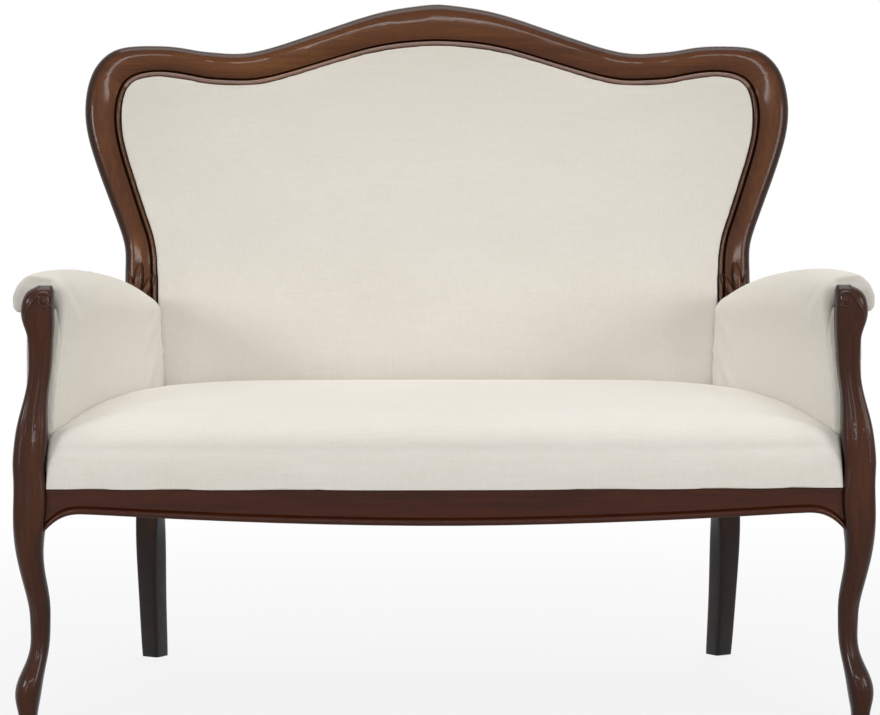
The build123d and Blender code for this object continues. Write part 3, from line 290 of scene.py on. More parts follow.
# Lighter tone on the crest's bead: painted highlight
BEAD_HIGHLIGHT_WOOD = show_wood("mahogany_bead_highlight", "X", (1.1, 1.05, 1.0))
bead_shader = BEAD_HIGHLIGHT_WOOD.node_tree.nodes["Principled BSDF"]
bead_shader.inputs["Coat Weight"].default_value = 1.0
bead_shader.inputs["Coat Roughness"].default_value = 0.26
bead_shader.inputs["Coat IOR"].default_value = 1.8
RAIL_WOOD = show_wood("mahogany_rail", "X", (0.48, 0.30, 0.30))
SIDE_WOOD = show_wood("mahogany_side", "Y", (0.48, 0.30, 0.30))
BEECH = {axis: plain_wood(axis) for axis in "XYZ"}
CREAM_CLOTH = ((0.800, 0.766, 0.702), (0.725, 0.686, 0.614), 0.0013, 0.16)  # two tones, pitch, sheen
# Painted shade: the inside back darkens towards its top
BACK_TOP_SHADE = [(0.740, PLAIN), (0.900, (0.900, 0.893, 0.880)), (0.975, (0.850, 0.840, 0.822))]
# The arms' cover darkens towards the top of the roll
ARM_TOP_DARKENING = [(0.540, PLAIN), (0.625, (0.905, 0.897, 0.885))]
CREAM = cloth("cream_cloth", *CREAM_CLOTH)
BACK_CREAM = cloth("cream_back", *CREAM_CLOTH, top_darkening=BACK_TOP_SHADE)
ARM_CREAM = cloth("cream_arm", *CREAM_CLOTH, top_darkening=ARM_TOP_DARKENING)
HESSIAN = cloth("hessian_cloth", (0.43, 0.32, 0.19), (0.24, 0.17, 0.09), 0.0030, 0.05, 0.92, 1.8)
WEBBING = cloth("webbing_cloth", (0.40, 0.31, 0.20), (0.22, 0.16, 0.10), 0.0022, 0.05, 0.92, 1.4)
CAMBRIC = cloth("black_cambric", (0.030, 0.030, 0.031), (0.016, 0.016, 0.017), 0.0011, 0.10, 0.88)
SPRING_STEEL = steel("spring_steel", (0.30, 0.30, 0.31), 0.42)
SCREW_STEEL = steel("screw_steel", (0.58, 0.57, 0.54), 0.34)

inner_axis = {
    "crest_dowels": "Z", "back_stay_rail": "X", "centre_brace": "Y", "corner_blocks": "X",
    "arm_rail_left": "Y", "arm_rail_right": "Y", "arm_stay_rail_left": "Y", "arm_stay_rail_right": "Y",
}
finishes = {"crest_rail": CREST_WOOD, "front_seat_rail": RAIL_WOOD, "rear_seat_rail": RAIL_WOOD}
for side in ("left", "right"):
    finishes["front_post_" + side] = POST_WOOD
    finishes["rear_post_" + side] = STILE_WOOD
    finishes["side_seat_rail_" + side] = SIDE_WOOD
finishes.update({name: BEECH[axis] for name, axis in inner_axis.items()})
finishes.update({"seat_springs": SPRING_STEEL, "spring_clips": SPRING_STEEL, "corner_screws": SCREW_STEEL})
finishes.update({"seat_hessian": HESSIAN, "back_hessian": HESSIAN})
finishes.update({"back_webbing": WEBBING, "arm_webbing_left": WEBBING, "arm_webbing_right": WEBBING})
FRAME_SHARP, CARVING_SHARP = 32, 50  # edges stay sharp from these angles on, in degrees


def dress(mesh, material, sharp=None):
    """One material and smooth shading."""
    mesh.materials.clear()
    mesh.materials.append(material)
    mesh.polygons.foreach_set("use_smooth", [True] * len(mesh.polygons))
    if sharp is not None:
        mesh.set_sharp_from_angle(angle=math.radians(sharp))


for name, material in finishes.items():
    dress(nodes[name].data, material, FRAME_SHARP)


def node_tree(name):
    return BVHTree.FromObject(nodes[name], bpy.context.evaluated_depsgraph_get())


# The bead along the crest's upholstered edge takes a lighter tone, a painted highlight, and a stronger coat
crest = nodes["crest_rail"].data
crest.materials.append(BEAD_HIGHLIGHT_WOOD)
pad_tree = node_tree("back_foam")
BEAD_REACH = 0.0086  # bead's outer edge from the pad
for polygon in crest.polygons:
    if polygon.normal.dot(BACK_NORMAL) > 0.1 and pad_tree.find_nearest(polygon.center, BEAD_REACH)[0]:
        polygon.material_index = 1


# Upholstery

def object_from(bm, name):
    mesh = bpy.data.meshes.new(name)
    bm.to_mesh(mesh)
    bm.free()
    piece = bpy.data.objects.new(name, mesh)
    scene.collection.objects.link(piece)
    return piece


WELD = 2e-6


def node_mesh(name, *sources):
    """A new object with the joined, welded meshes of some nodes."""
    bm = bmesh.new()
    for source in sources:
        bm.from_mesh(nodes[source].data)
    bmesh.ops.remove_doubles(bm, verts=bm.verts, dist=WELD)
    return object_from(bm, name)


def apply_modifiers(piece):
    bpy.context.view_layer.update()
    evaluated = piece.evaluated_get(bpy.context.evaluated_depsgraph_get())
    mesh = bpy.data.meshes.new_from_object(evaluated)
    piece.modifiers.clear()
    old = piece.data
    piece.data = mesh
    bpy.data.meshes.remove(old)


def points_of(piece):
    values = np.empty(len(piece.data.vertices) * 3)
    piece.data.vertices.foreach_get("co", values)
    return values.reshape(-1, 3)


def normals_of(piece):
    values = np.empty(len(piece.data.vertices) * 3)
    piece.data.vertex_normals.foreach_get("vector", values)
    return values.reshape(-1, 3)


def set_points(piece, values):
    piece.data.vertices.foreach_set("co", values.astype(np.float32).ravel())
    piece.data.update()


def remesh(piece, voxel):
    modifier = piece.modifiers.new("remesh", "REMESH")
    modifier.mode = "VOXEL"
    modifier.voxel_size = voxel
    apply_modifiers(piece)


def neighbours(piece):
    edges = np.empty(len(piece.data.edges) * 2, dtype=np.int64)
    piece.data.edges.foreach_get("vertices", edges)
    return edges.reshape(-1, 2)


LOOSE = 0.6  # share of its place that a free point takes from its neighbours in each round


def relax(values, edges, rounds, keep=None):
    """Moves each value towards the mean of its neighbours; keep is the share of the old one that stays."""
    count = np.zeros(len(values))
    np.add.at(count, edges[:, 0], 1)
    np.add.at(count, edges[:, 1], 1)
    count = np.maximum(count, 1)[:, None]
    keep = np.full((len(values), 1), 1 - LOOSE) if keep is None else keep[:, None]
    result = values.copy()
    for _ in range(rounds):
        total = np.zeros_like(result)
        np.add.at(total, edges[:, 0], result[edges[:, 1]])
        np.add.at(total, edges[:, 1], result[edges[:, 0]])
        result = keep * result + (1 - keep) * total / count
    return result


HOLDS = 10  # steps from held to free


def swell(piece, free, pressure, cap, frames=14):
    """Blows the pad up as cloth; free runs from 0, held, to 1, and cap is the most that a point moves."""
    rest = points_of(piece)
    group = piece.vertex_groups.new(name="held")
    for share in range(HOLDS):
        last = share == HOLDS - 1
        chosen = np.nonzero((free >= share / HOLDS) & (free < (share + 1) / HOLDS + last))[0]
        if len(chosen):
            group.add(chosen.tolist(), 1.0 - share / (HOLDS - 1), "REPLACE")
    modifier = piece.modifiers.new("cloth", "CLOTH")
    settings = modifier.settings
    settings.quality = 5
    settings.mass = 0.3
    settings.tension_stiffness = 18
    settings.compression_stiffness = 18
    settings.shear_stiffness = 8
    settings.bending_stiffness = 0.6
    settings.use_pressure = True
    settings.uniform_pressure_force = pressure
    settings.effector_weights.gravity = 0
    settings.vertex_group_mass = "held"
    modifier.point_cache.frame_start = 1
    modifier.point_cache.frame_end = frames
    for moment in range(1, frames + 1):
        scene.frame_set(moment)
    apply_modifiers(piece)
    moved = points_of(piece) - rest
    length = np.linalg.norm(moved, axis=1)
    moved *= (np.minimum(length, cap) / np.maximum(length, 1e-9))[:, None]
    moved = relax(moved * free[:, None], neighbours(piece), 6)
    set_points(piece, rest + moved)
    scene.frame_set(1)


def finish_pad(piece, material, fill, *replaced):
    dress(piece.data, material)
    modifier = piece.modifiers.new("fine", "SUBSURF")
    modifier.levels = modifier.render_levels = 1
    piece.vertex_groups.clear()
    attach(piece, "root")
    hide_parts(*replaced)


def smooth_step(values, low, high):
    share = np.clip((values - low) / (high - low), 0, 1)
    return share * share * (3 - 2 * share)


def along_back(points, axis):
    """How far points lie from the datum of the back's face along one of its axes."""
    return (points - np.array(BACK_ORIGIN)) @ np.array(axis)


SEAT_MIDDLE, SEAT_HALF = -0.3384, 0.5775  # depth of the seat foam's front in the middle, and its half-width


def seat_front(x):
    """Depth of the seat foam's front, which bows with the rail."""
    return SEAT_MIDDLE + RAIL_BOW * (x / SEAT_HALF) ** 2


# Inner edge and rear of the arm posts at some heights
POST_EDGE_HEIGHTS = (0.345, 0.440, 0.500, 0.540, 0.572, 0.596, 0.614, 0.625)
POST_EDGES = (0.576, 0.5745, 0.5705, 0.5663, 0.5640, 0.5637, 0.5635, 0.5635)
POST_REAR_HEIGHTS = (0.345, 0.400, 0.460, 0.520, 0.550, 0.580, 0.610, 0.628, 0.636)
POST_REARS = (-0.2736, -0.2747, -0.2762, -0.2790, -0.2795, -0.2772, -0.2764, -0.2785, -0.2746)
POST_CLEAR = 0.0004  # from the cloth to the post
SEAT_FOOT = RAIL_TOP + 0.0071  # underside of the seat foam
SKIRT_TOP = 0.022  # above the rail, where the seat's front starts to be drawn down to it
SKIRT_LAP = 0.0030  # how far it laps over the rail's rounded edge
SKIRT_PROUD = 0.0024  # how far it stands before the foam

# Seat
SEAT_FREE = (RAIL_TOP + 0.012, RAIL_TOP + 0.03)  # heights between which its cover comes free
SEAT_ENDS = (0.562, 0.568)  # from the middle, where it is drawn to the posts
SEAT_ENDS_REAR = (-0.282, -0.272)  # depths where that stops
SEAT_CLEAR = 0.0002  # from the cover to the post
CREASES = ((0.054, 0.004, 0.0055, 1.0), (0.028, -0.005, 0.005, 0.5))  # height, wander, half-height, share
CREASE_DEPTH = 0.0026
seat = node_mesh("seat_pad", "seat_foam")
remesh(seat, 0.0075)
points = points_of(seat)
normals = normals_of(seat)
free = smooth_step(points[:, 2], *SEAT_FREE)
free *= 1 - smooth_step(np.abs(normals[:, 0]), 0.55, 0.8) * (points[:, 1] > -0.27)
free *= 1 - smooth_step(normals[:, 1], 0.4, 0.7)
points = relax(points, neighbours(seat), 14, 1 - LOOSE * free)
set_points(seat, points)
swell(seat, free, 4.0, 0.007)
points = points_of(seat)
normals = normals_of(seat)
drawn = 1 - smooth_step(points[:, 2], SEAT_FOOT + 0.002, RAIL_TOP + SKIRT_TOP)
drawn *= 1 - smooth_step(points[:, 1] - seat_front(points[:, 0]), 0.005, 0.011)
points[:, 2] += (RAIL_TOP - SKIRT_LAP - points[:, 2]) * drawn
points[:, 1] += (seat_front(points[:, 0]) - SKIRT_PROUD - points[:, 1]) * drawn
crease = np.array([noise.noise(Vector((x * 2.3, 0.0, 4.1))) for x in points[:, 0]])
line = np.zeros(len(points))
for height, wander, tall, share in CREASES:
    line += share * np.exp(-(((points[:, 2] - RAIL_TOP - height - wander * crease) / tall) ** 2))
line *= smooth_step(-normals[:, 1], 0.45, 0.8) * (0.65 + 0.7 * crease)
points[:, 1] += CREASE_DEPTH * line
beside = np.interp(points[:, 2], POST_EDGE_HEIGHTS, POST_EDGES)
ends = smooth_step(np.abs(points[:, 0]), *SEAT_ENDS) * (1 - smooth_step(points[:, 1], *SEAT_ENDS_REAR))
points[:, 0] += np.sign(points[:, 0]) * (beside - SEAT_CLEAR - np.abs(points[:, 0])) * ends
set_points(seat, points)
finish_pad(seat, CREAM, 0.9, "seat_foam", "seat_cover")

# Inside back
RIM_PROUD = 0.0007  # how far the cover stands out of the foam's wall
RIM_EDGE = -0.0020  # front edge of that wall, from the face of the frame
RIM_BAND = 0.0046  # points this near the wall are laid on it
RIM_FADE = 0.012  # and from here inward the front is free
RIM_DEPTH = 0.016  # down to this from the face of the frame
RIM_LEVEL = 4 * RIM_EDGE  # where the wall is looked for, from the face of the frame
RIM_SQUEEZE = 0.2  # share of their depth that points behind the edge keep
WALL_TURN = 0.3  # most that a wall's normal leans to the front


def laid_rim(points, name):
    """Lays the points by a pad's rim on its node's outline, with the front just before the node's dome."""
    mesh = nodes[name].data
    places = [vertex.co for vertex in mesh.vertices]
    walls = [tuple(p.vertices) for p in mesh.polygons if abs(p.normal.dot(BACK_NORMAL)) < WALL_TURN]
    walls = BVHTree.FromPolygons(places, walls)
    dome = BVHTree.FromPolygons(places, [tuple(p.vertices) for p in mesh.polygons])
    result = points.copy()
    for index, spot in enumerate(points):
        spot = Vector(spot)
        front = (spot - BACK_ORIGIN).dot(BACK_NORMAL)
        if front < -RIM_DEPTH:
            continue
        level = spot - BACK_NORMAL * (front - RIM_LEVEL)
        wall, out, _, _ = walls.find_nearest(level)
        inside = (wall - level).dot(out)
        if inside < RIM_BAND:
            front = min(front, RIM_EDGE)
            sunk = smooth_step((RIM_EDGE - front) / RIM_DEPTH, 0.5, 1.0)
            raised = RIM_EDGE + (front - RIM_EDGE) * (RIM_SQUEEZE + (1 - RIM_SQUEEZE) * sunk)
            result[index] = wall + out * RIM_PROUD + BACK_NORMAL * (raised - RIM_LEVEL)
        elif inside < RIM_FADE:
            hit = dome.ray_cast(level + BACK_NORMAL * 0.1, -BACK_NORMAL)[0]
            if hit is not None:
                share = 1 - smooth_step(inside, RIM_BAND, RIM_FADE)
                result[index] = spot.lerp(hit + BACK_NORMAL * RIM_PROUD, share)
    return result


# Soft hollow towards each shoulder: X, height up the back, half-width, half-height, depth
BACK_DENTS = ((-0.325, 0.435, 0.085, 0.055, 0.0045), (0.335, 0.430, 0.085, 0.055, 0.0045))
BACK_FREE = (-0.003, 0.003)  # before the face of the frame, where the cover comes free
back = node_mesh("back_pad", "back_foam")
remesh(back, 0.007)
points = points_of(back)
free = smooth_step(along_back(points, BACK_NORMAL), *BACK_FREE)
points = laid_rim(points, "back_foam")
points = relax(points, neighbours(back), 12, 1 - LOOSE * free)
set_points(back, points)
swell(back, free, 3.0, 0.006)
points = points_of(back)
level = along_back(points, BACK_UP)
for dent_x, dent_level, wide, tall, depth in BACK_DENTS:
    dent = np.exp(-(((points[:, 0] - dent_x) / wide) ** 2) - ((level - dent_level) / tall) ** 2)
    points -= np.array(BACK_NORMAL) * (depth * dent * free)[:, None]
set_points(back, points)
finish_pad(back, BACK_CREAM, 0.85, "back_foam", "back_cover")

# Arms
ARM_FRONT = -0.2714  # front of the arm's foam and of its outside panel
ARM_FREE = (RAIL_TOP + 0.01, RAIL_TOP + 0.05)  # heights between which its cover comes free
ARM_INWARD = (0.588, 0.602)  # from the middle, where its softened front edge ends
ARM_COVERED = (0.599, 0.606)  # and where it comes out from behind the post
ARM_TUCK = 0.0015  # how far the arm's cover is tucked towards the frame
ARM_DRAW = 0.0032  # how far it is drawn forward outside the post
ARM_PUSH = 0.009  # how far the cover is drawn forward beside the post
for side in ("left", "right"):
    arm = node_mesh("arm_pad_" + side, "arm_foam_" + side)
    remesh(arm, 0.0055)
    points = points_of(arm)
    normals = normals_of(arm)
    free = 1 - smooth_step(np.abs(normals[:, 1]), 0.5, 0.8)
    free *= smooth_step(points[:, 2], *ARM_FREE)
    points = relax(points, neighbours(arm), 8, 1 - LOOSE * free)
    near_front = 1 - smooth_step(points[:, 1], ARM_FRONT + 0.004, ARM_FRONT + 0.045)
    inward = 1 - smooth_step(np.abs(points[:, 0]), *ARM_INWARD)
    points = relax(points, neighbours(arm), 22, 1 - LOOSE * near_front * inward)
    points = relax(points, neighbours(arm), 4, 1 - 0.5 * near_front)
    beside = np.interp(points[:, 2], POST_EDGE_HEIGHTS, POST_EDGES)
    pushed = 1 - smooth_step(np.abs(points[:, 0]), beside + 0.001, beside + 0.006)
    pushed *= 1 - smooth_step(points[:, 1], ARM_FRONT + 0.006, ARM_FRONT + 0.030)
    points[:, 1] -= ARM_PUSH * pushed
    rear = np.interp(points[:, 2], POST_REAR_HEIGHTS, POST_REARS) + POST_CLEAR
    drawn = (1 - pushed) * (1 - smooth_step(points[:, 1], ARM_FRONT + 0.004, ARM_FRONT + 0.020))
    covered = 1 - smooth_step(np.abs(points[:, 0]), *ARM_COVERED)
    points[:, 1] += drawn * (covered * (rear - points[:, 1]) - (1 - covered) * ARM_DRAW)
    reach = along_back(points, BACK_NORMAL)
    points -= np.array(BACK_NORMAL) * (ARM_TUCK * (1 - smooth_step(reach, 0.004, 0.030)))[:, None]
    set_points(arm, points)
    swell(arm, free, 3.0, 0.004)
    finish_pad(arm, ARM_CREAM, 0.85, "arm_foam_" + side, "arm_cover_" + side)

# Outside arms, arm facings and outside back
PLATE_ROOM = 0.010  # what a thin plate is thickened by
PLATE_LEFT = 0.05  # share of that thickness that is left
PLATE_VOXEL = 0.005
PANEL_TUCK = 0.0012  # how far the outside arm's top edge goes up into the roll of the arm
ROLL_REACH = 0.03  # how far above it the roll is looked for
ROLL_DRAW = (0.013, 0.024)  # distances from the roll over which it stops being drawn up


def plate_mesh(name, source, inward, voxel):
    """An even mesh of a thin plate: thickened inward to remesh it, then laid back on the plate."""
    piece = node_mesh(name, source)
    points = points_of(piece)
    inward = np.array(inward)
    points[normals_of(piece) @ inward > 0] += inward * PLATE_ROOM
    set_points(piece, points)
    remesh(piece, voxel)
    tree = node_tree(source)
    laid = np.array([tree.find_nearest(Vector(spot))[0] for spot in points_of(piece)])
    set_points(piece, laid + PLATE_LEFT * (points_of(piece) - laid))
    return piece


for side, sign in SIDES:
    panel = plate_mesh("outside_arm_" + side, "outside_arm_panel_" + side, (-sign, 0, 0), PLATE_VOXEL)
    points = points_of(panel)
    rear = np.interp(points[:, 2], POST_REAR_HEIGHTS, POST_REARS) + POST_CLEAR
    drawn = 1 - smooth_step(points[:, 1], ARM_FRONT + 0.002, ARM_FRONT + 0.010)
    points[:, 1] += (rear - points[:, 1]) * drawn
    roll = BVHTree.FromObject(bpy.data.objects["arm_pad_" + side], bpy.context.evaluated_depsgraph_get())
    for index, spot in enumerate(points):
        hit = roll.ray_cast(Vector(spot), Vector((0, 0, 1)), ROLL_REACH)[0]
        if hit is not None:
            share = 1 - smooth_step(hit.z - spot[2], *ROLL_DRAW)
            points[index, 2] += (hit.z + PANEL_TUCK - spot[2]) * share
    set_points(panel, points)
    finish_pad(panel, CREAM, 0.3, "outside_arm_panel_" + side)

FACING_TOP = 0.604  # where the arm's facing goes under the roll
FACING_LAP = 0.008  # how far it runs past the post's inner edge, into the front of the arm's pad
FACING_CLEAR = 0.0010  # from the facing to the post
FACING_EDGE = 0.5965  # outer edge of the facing, inside the outside panel
FACING_LEVELS, FACING_WINDOW = 32, 0.008  # its width is measured at so many heights, over this up and down
for side, sign in SIDES:
    facing = plate_mesh("arm_front_" + side, "arm_facing_" + side, AHEAD, PLATE_VOXEL)
    points = points_of(facing)
    low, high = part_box("arm_facing_" + side)
    levels = np.linspace(low.z, high.z, FACING_LEVELS)
    near = [np.abs(points[np.abs(points[:, 2] - level) < FACING_WINDOW, 0]) for level in levels]
    inner = np.interp(points[:, 2], levels, [found.min() for found in near])
    outer = np.interp(points[:, 2], levels, [found.max() for found in near])
    across = (np.abs(points[:, 0]) - inner) / (outer - inner)
    points[:, 2] = low.z + (points[:, 2] - low.z) * (FACING_TOP - low.z) / (high.z - low.z)
    beside = np.interp(points[:, 2], POST_EDGE_HEIGHTS, POST_EDGES) - FACING_LAP
    points[:, 0] = sign * (beside + (FACING_EDGE - beside) * across)
    points[:, 1] += np.interp(points[:, 2], POST_REAR_HEIGHTS, POST_REARS) + FACING_CLEAR - low.y
    set_points(facing, points)
    finish_pad(facing, ARM_CREAM, 0.3, "arm_facing_" + side)

outside = plate_mesh("outside_back", "outside_back_cover", BACK_NORMAL, 0.007)
finish_pad(outside, CREAM, 0.3, "outside_back_cover", "outside_back_board")

# Dust cloth under the seat, tacked along the rails and sagging a little between them
low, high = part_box("dust_cover")
bm = bmesh.new()
COLUMNS, ROWS = 60, 28
DUST_FRONT, DUST_REAR = 0.588, 0.448  # half-widths between the side rails
DUST_INSET, DUST_HEM = 0.027, 0.002  # from the CAD cover's front and rear edge
DUST_SAG, DUST_RIPPLE, DUST_LIFT = 0.005, 0.0006, 0.0005
grid = []
for row in range(ROWS + 1):
    t = row / ROWS
    y = low.y + DUST_INSET + (high.y - DUST_HEM - low.y - DUST_INSET) * t
    half = DUST_FRONT + (DUST_REAR - DUST_FRONT) * t
    line = []
    for column in range(COLUMNS + 1):
        u = 2 * column / COLUMNS - 1
        bow = -RAIL_BOW * (1 - u * u) * (1 - t) ** 3
        sag = DUST_SAG * (1 - u * u) * 4 * t * (1 - t)
        ripple = DUST_RIPPLE * noise.noise(Vector((u * 9, t * 5, 1.7)))
        line.append(bm.verts.new((half * u, y + bow, low.z + DUST_LIFT - sag + ripple)))
    grid.append(line)
for row in range(ROWS):
    for column in range(COLUMNS):
        near, far = grid[row], grid[row + 1]
        bm.faces.new((near[column], far[column], far[column + 1], near[column + 1]))
dust = object_from(bm, "dust_cloth")
dress(dust.data, CAMBRIC)
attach(dust, "root")
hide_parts("dust_cover")


# Carving: closed patches that lie on the show wood and dip under its surface along their borders

CARVING_ROOT = 0.004  # depth of a carving's foot in the wood
CARVING_SINK = 0.0010  # how far its border lies under the surface
SHALLOW_SINK = 0.0006  # and that of a low carving


def spread(start, size, count):
    return [start + size * k / count for k in range(count + 1)]


def relief(name, wood_name, lines, direction, material):
    """A carved patch from rows of (place before the wood, height of the carving there)."""
    tree = node_tree(wood_name)
    bm = bmesh.new()
    fronts, backs = [], []
    for line in lines:
        front, back = [], []
        for start, height in line:
            hit = tree.ray_cast(start, direction)[0]
            if hit is None:
                hit = tree.find_nearest(start)[0]
            front.append(bm.verts.new(hit - direction * height))
            back.append(bm.verts.new(hit + direction * CARVING_ROOT))
        fronts.append(front)
        backs.append(back)
    for layer in (fronts, backs):
        for low_line, high_line in zip(layer, layer[1:]):
            for k in range(len(low_line) - 1):
                bm.faces.new((low_line[k], low_line[k + 1], high_line[k + 1], high_line[k]))
    rim = [list(zip(fronts[0], backs[0])), list(zip(fronts[-1], backs[-1]))]
    rim += [[(f[k], b[k]) for f, b in zip(fronts, backs)] for k in (0, -1)]
    for border in rim:
        for (f0, b0), (f1, b1) in zip(border, border[1:]):
            bm.faces.new((f0, f1, b1, b0))
    bmesh.ops.recalc_face_normals(bm, faces=bm.faces)
    piece = object_from(bm, name)
    dress(piece.data, material, CARVING_SHARP)
    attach(piece, "root")


# Leaf at the foot of each stile: lobes as (X, height up the back, half-width, half-height, tilt, how proud)
LOBES = (
    (0.4770, 0.168, 0.0085, 0.030, 0.10, 0.0070),
    (0.4615, 0.158, 0.0075, 0.023, 0.42, 0.0055),
    (0.4905, 0.160, 0.0065, 0.025, -0.22, 0.0060),
)
LEAF_LEVELS, LEAF_ACROSS = spread(0.128, 0.080, 60), spread(0.4495, 0.0465, 40)
LEAF_START = 0.05  # a distance before the back


def leaf_height(x, level):
    best = 0.0
    for centre_x, centre_level, wide, tall, tilt, proud in LOBES:
        dx, dz = x - centre_x, level - centre_level
        across = (dx * math.cos(tilt) + dz * math.sin(tilt)) / wide
        along = (dz * math.cos(tilt) - dx * math.sin(tilt)) / tall
        best = max(best, proud * math.sqrt(max(0.0, 1 - across * across - along * along)))
    return best - CARVING_SINK


for side, sign in SIDES:
    lines = []
    for level in LEAF_LEVELS:
        line = []
        for x in LEAF_ACROSS:
            start = BACK_ORIGIN + Vector((sign * x, 0, 0)) + BACK_UP * level + BACK_NORMAL * LEAF_START
            line.append((start, leaf_height(x, level)))
        lines.append(line)
    relief("stile_carving_" + side, "rear_post_" + side, lines, -BACK_NORMAL, STILE_WOOD)

# Arm posts: two reeds down the waist, a ridge down the leg; places and widths as shares of the half-width
POST_FRONT = -0.40  # a depth before the posts
REED_PLACE, REED_WIDTH, REED_PROUD = 0.46, 0.17, 0.0017
RIDGE_PLACE, RIDGE_WIDTH, RIDGE_PROUD = 0.05, 0.26, 0.0019
REED_RISE, REED_FALL = (0.385, 0.45), (0.565, 0.598)  # heights where they come out of the wood and go back
RIDGE_RISE, RIDGE_FALL = (0.062, 0.11), (0.29, 0.37)
POST_ACROSS = spread(-0.82, 1.64, 36)


def bell(value, width):
    return math.exp(-((value / width) ** 2))


def post_reach(tree, sign, z):
    """Inner and outer edge of a post's front at a height."""
    across = np.arange(0.540, 0.640, 0.001)
    seen = [x for x in across if tree.ray_cast(Vector((sign * x, POST_FRONT, z)), AHEAD)[0]]
    return seen[0], seen[-1]


for side, sign in SIDES:
    tree = node_tree("front_post_" + side)
    heights = np.arange(0.062, 0.600, 0.004)
    reach = np.array([post_reach(tree, sign, z) for z in heights])
    padded = np.pad(reach, ((3, 3), (0, 0)), mode="edge")
    reach = np.mean([padded[k : k + len(reach)] for k in range(7)], axis=0)
    lines = []
    for z, (inner, outer) in zip(heights, reach):
        reeds = smooth_step(z, *REED_RISE) * (1 - smooth_step(z, *REED_FALL))
        ridge = smooth_step(z, *RIDGE_RISE) * (1 - smooth_step(z, *RIDGE_FALL))
        line = []
        for u in POST_ACROSS:
            x = (inner + outer) / 2 + u * (outer - inner) / 2
            pair = bell(u - REED_PLACE, REED_WIDTH) + bell(u + REED_PLACE, REED_WIDTH)
            height = REED_PROUD * reeds * pair + RIDGE_PROUD * ridge * bell(u - RIDGE_PLACE, RIDGE_WIDTH)
            line.append((Vector((sign * x, POST_FRONT, z)), height - SHALLOW_SINK))
        lines.append(line)
    relief("post_carving_" + side, "front_post_" + side, lines, AHEAD, POST_WOOD)

# Scroll at the top of each arm post: a ridge that comes up the outer edge and curls in to an eye
SCROLL_EYE = (0.5765, 0.6135)
SCROLL_STRETCH = 1.12  # wider than high
SCROLL_TURNS, SCROLL_START, SCROLL_TURN = 36, 48, 13.5  # points on the curl, first angle and step in degrees
SCROLL_RADIUS, SCROLL_SHRINK = 0.0125, 0.0092
SCROLL_LEVELS, SCROLL_ACROSS = spread(0.584, 0.0445, 60), spread(0.5660, 0.0400, 56)
SCROLL_RIDGE, EYE = (0.0022, 0.0027), (0.0030, 0.0036)  # how proud, half-width
scroll = [Vector((0.6035, 0.589)), Vector((0.6015, 0.598)), Vector((0.5965, 0.6075))]
for turn in range(SCROLL_TURNS):
    angle = math.radians(SCROLL_START + SCROLL_TURN * turn)
    radius = SCROLL_RADIUS - SCROLL_SHRINK * turn / (SCROLL_TURNS - 1)
    across = SCROLL_EYE[0] + radius * SCROLL_STRETCH * math.cos(angle)
    up = SCROLL_EYE[1] + radius * math.sin(angle)
    scroll.append(Vector((across, up)))


def mound(distance, proud, wide):
    return proud * math.sqrt(max(0.0, 1 - (distance / wide) ** 2))


def scroll_height(x, z):
    spot = Vector((x, z))
    nearest = 1.0
    for first, second in zip(scroll, scroll[1:]):
        run = second - first
        share = min(1.0, max(0.0, (spot - first).dot(run) / run.length_squared))
        nearest = min(nearest, (spot - first - run * share).length)
    ridge = mound(nearest, *SCROLL_RIDGE)
    eye = mound((spot - Vector(SCROLL_EYE)).length, *EYE)
    return max(ridge, eye) - SHALLOW_SINK


for side, sign in SIDES:
    lines = []
    for z in SCROLL_LEVELS:
        line = []
        for x in SCROLL_ACROSS:
            line.append((Vector((sign * x, POST_FRONT, z)), scroll_height(x, z)))
        lines.append(line)
    relief("post_scroll_" + side, "front_post_" + side, lines, AHEAD, POST_WOOD)


# Stage: pale floor that fades to white, white world, soft lamps, camera

def seen_directly(tree):
    """1 for what the camera, a reflection or a clear surface shows, 0 for what only gives light."""
    path = tree.nodes.new("ShaderNodeLightPath")
    seen = math_node(tree, "MAXIMUM", path.outputs["Is Camera Ray"], path.outputs["Is Glossy Ray"])
    return math_node(tree, "MAXIMUM", seen, path.outputs["Is Transmission Ray"])


FLOOR_FADE = {"From Min": 0.5, "From Max": 2.6, "To Min": 0.86, "To Max": 1.0}  # metres, share of white


def floor_material():
    material = bpy.data.materials.new("floor")
    material.use_nodes = True
    tree = material.node_tree
    tree.nodes.clear()
    output = tree.nodes.new("ShaderNodeOutputMaterial")
    diffuse = place(tree, "ShaderNodeBsdfDiffuse", Color=(0.52, 0.52, 0.51, 1.0))
    glow = place(tree, "ShaderNodeEmission", Color=(1.0, 1.0, 1.0, 1.0), Strength=1.0)
    mix = tree.nodes.new("ShaderNodeMixShader")
    coordinates = place(tree, "ShaderNodeTexCoord").outputs["Object"]
    length = tree.nodes.new("ShaderNodeVectorMath")
    length.operation = "LENGTH"
    tree.links.new(coordinates, length.inputs[0])
    fade = tree.nodes.new("ShaderNodeMapRange")
    fade.interpolation_type = "SMOOTHSTEP"
    for key, value in FLOOR_FADE.items():
        fade.inputs[key].default_value = value
    tree.links.new(length.outputs["Value"], fade.inputs["Value"])
    glowing = math_node(tree, "MULTIPLY", seen_directly(tree), fade.outputs["Result"])
    tree.links.new(glowing, mix.inputs[0])
    tree.links.new(diffuse.outputs[0], mix.inputs[1])
    tree.links.new(glow.outputs[0], mix.inputs[2])
    tree.links.new(mix.outputs[0], output.inputs["Surface"])
    return material


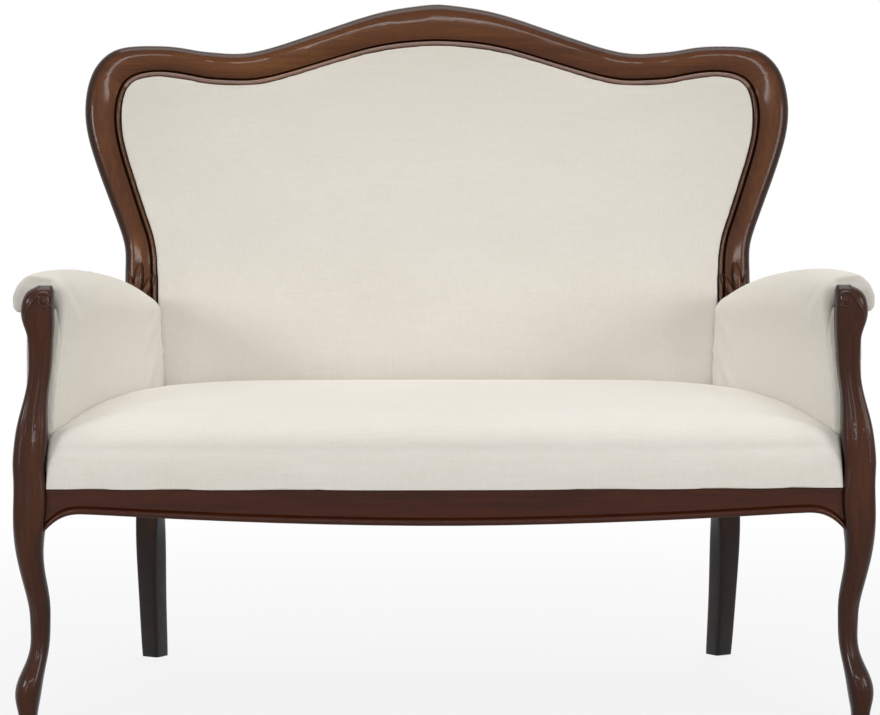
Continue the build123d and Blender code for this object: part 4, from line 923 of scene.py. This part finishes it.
FLOOR_SIZE, FLOOR_DROP = 30.0, 0.0002
bpy.ops.mesh.primitive_plane_add(size=FLOOR_SIZE, location=(0, 0, -FLOOR_DROP))
floor = bpy.context.object
floor.name = "floor"
floor.data.materials.append(floor_material())
floor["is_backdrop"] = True

world = bpy.data.worlds.new("studio")
scene.world = world
world.use_nodes = True
tree = world.node_tree
background = tree.nodes["Background"]
background.inputs["Color"].default_value = (1.0, 1.0, 1.0, 1.0)
WORLD_LIGHT = 0.28  # of the white that the camera sees
strength = math_node(tree, "MULTIPLY_ADD", seen_directly(tree), 1.0 - WORLD_LIGHT, WORLD_LIGHT)
tree.links.new(strength, background.inputs["Strength"])


def lamp(name, place_at, look_at, size, power):
    data = bpy.data.lights.new(name, "AREA")
    data.shape = "RECTANGLE"
    data.size, data.size_y = size
    data.energy = power
    light = bpy.data.objects.new(name, data)
    light.location = place_at
    light.rotation_euler = (Vector(look_at) - Vector(place_at)).to_track_quat("-Z", "Y").to_euler()
    scene.collection.objects.link(light)


# Name, place, aim, size, watts
lamp("key", (-2.9, -2.7, 1.7), (0, 0, 0.5), (1.0, 0.8), 40)
lamp("fill", (3.0, -2.6, 1.5), (0, 0, 0.5), (1.4, 1.2), 42)
lamp("top", (0.0, 0.3, 3.0), (0, -0.1, 0.4), (2.4, 1.4), 43)
lamp("behind", (0.6, 3.4, 2.4), (0, 0, 0.6), (2.6, 1.8), 34)
lamp("strip", (0.0, -3.9, 2.0), (0, 0, 0.6), (2.2, 0.14), 18)
lamp("glint_left", (-1.5, -3.4, 0.9), (0, 0, 0.6), (0.14, 1.2), 7)
lamp("glint_right", (1.7, -3.3, 0.9), (0, 0, 0.6), (0.14, 1.2), 7)

CAMERA_PLACE = (-0.107, -5.325, 0.900)
CAMERA_LENS, CAMERA_SENSOR = 142.7, 36.0
CAMERA_DIP, CAMERA_TURN = 4.205, -1.133  # degrees below level, and to the right
camera_data = bpy.data.cameras.new("camera")
camera_data.lens = CAMERA_LENS
camera_data.sensor_width = CAMERA_SENSOR
camera = bpy.data.objects.new("camera", camera_data)
camera.location = CAMERA_PLACE
camera.rotation_euler = (math.radians(90 - CAMERA_DIP), 0.0, math.radians(CAMERA_TURN))
scene.collection.objects.link(camera)
scene.camera = camera

scene.view_settings.view_transform = "Standard"

low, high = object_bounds()
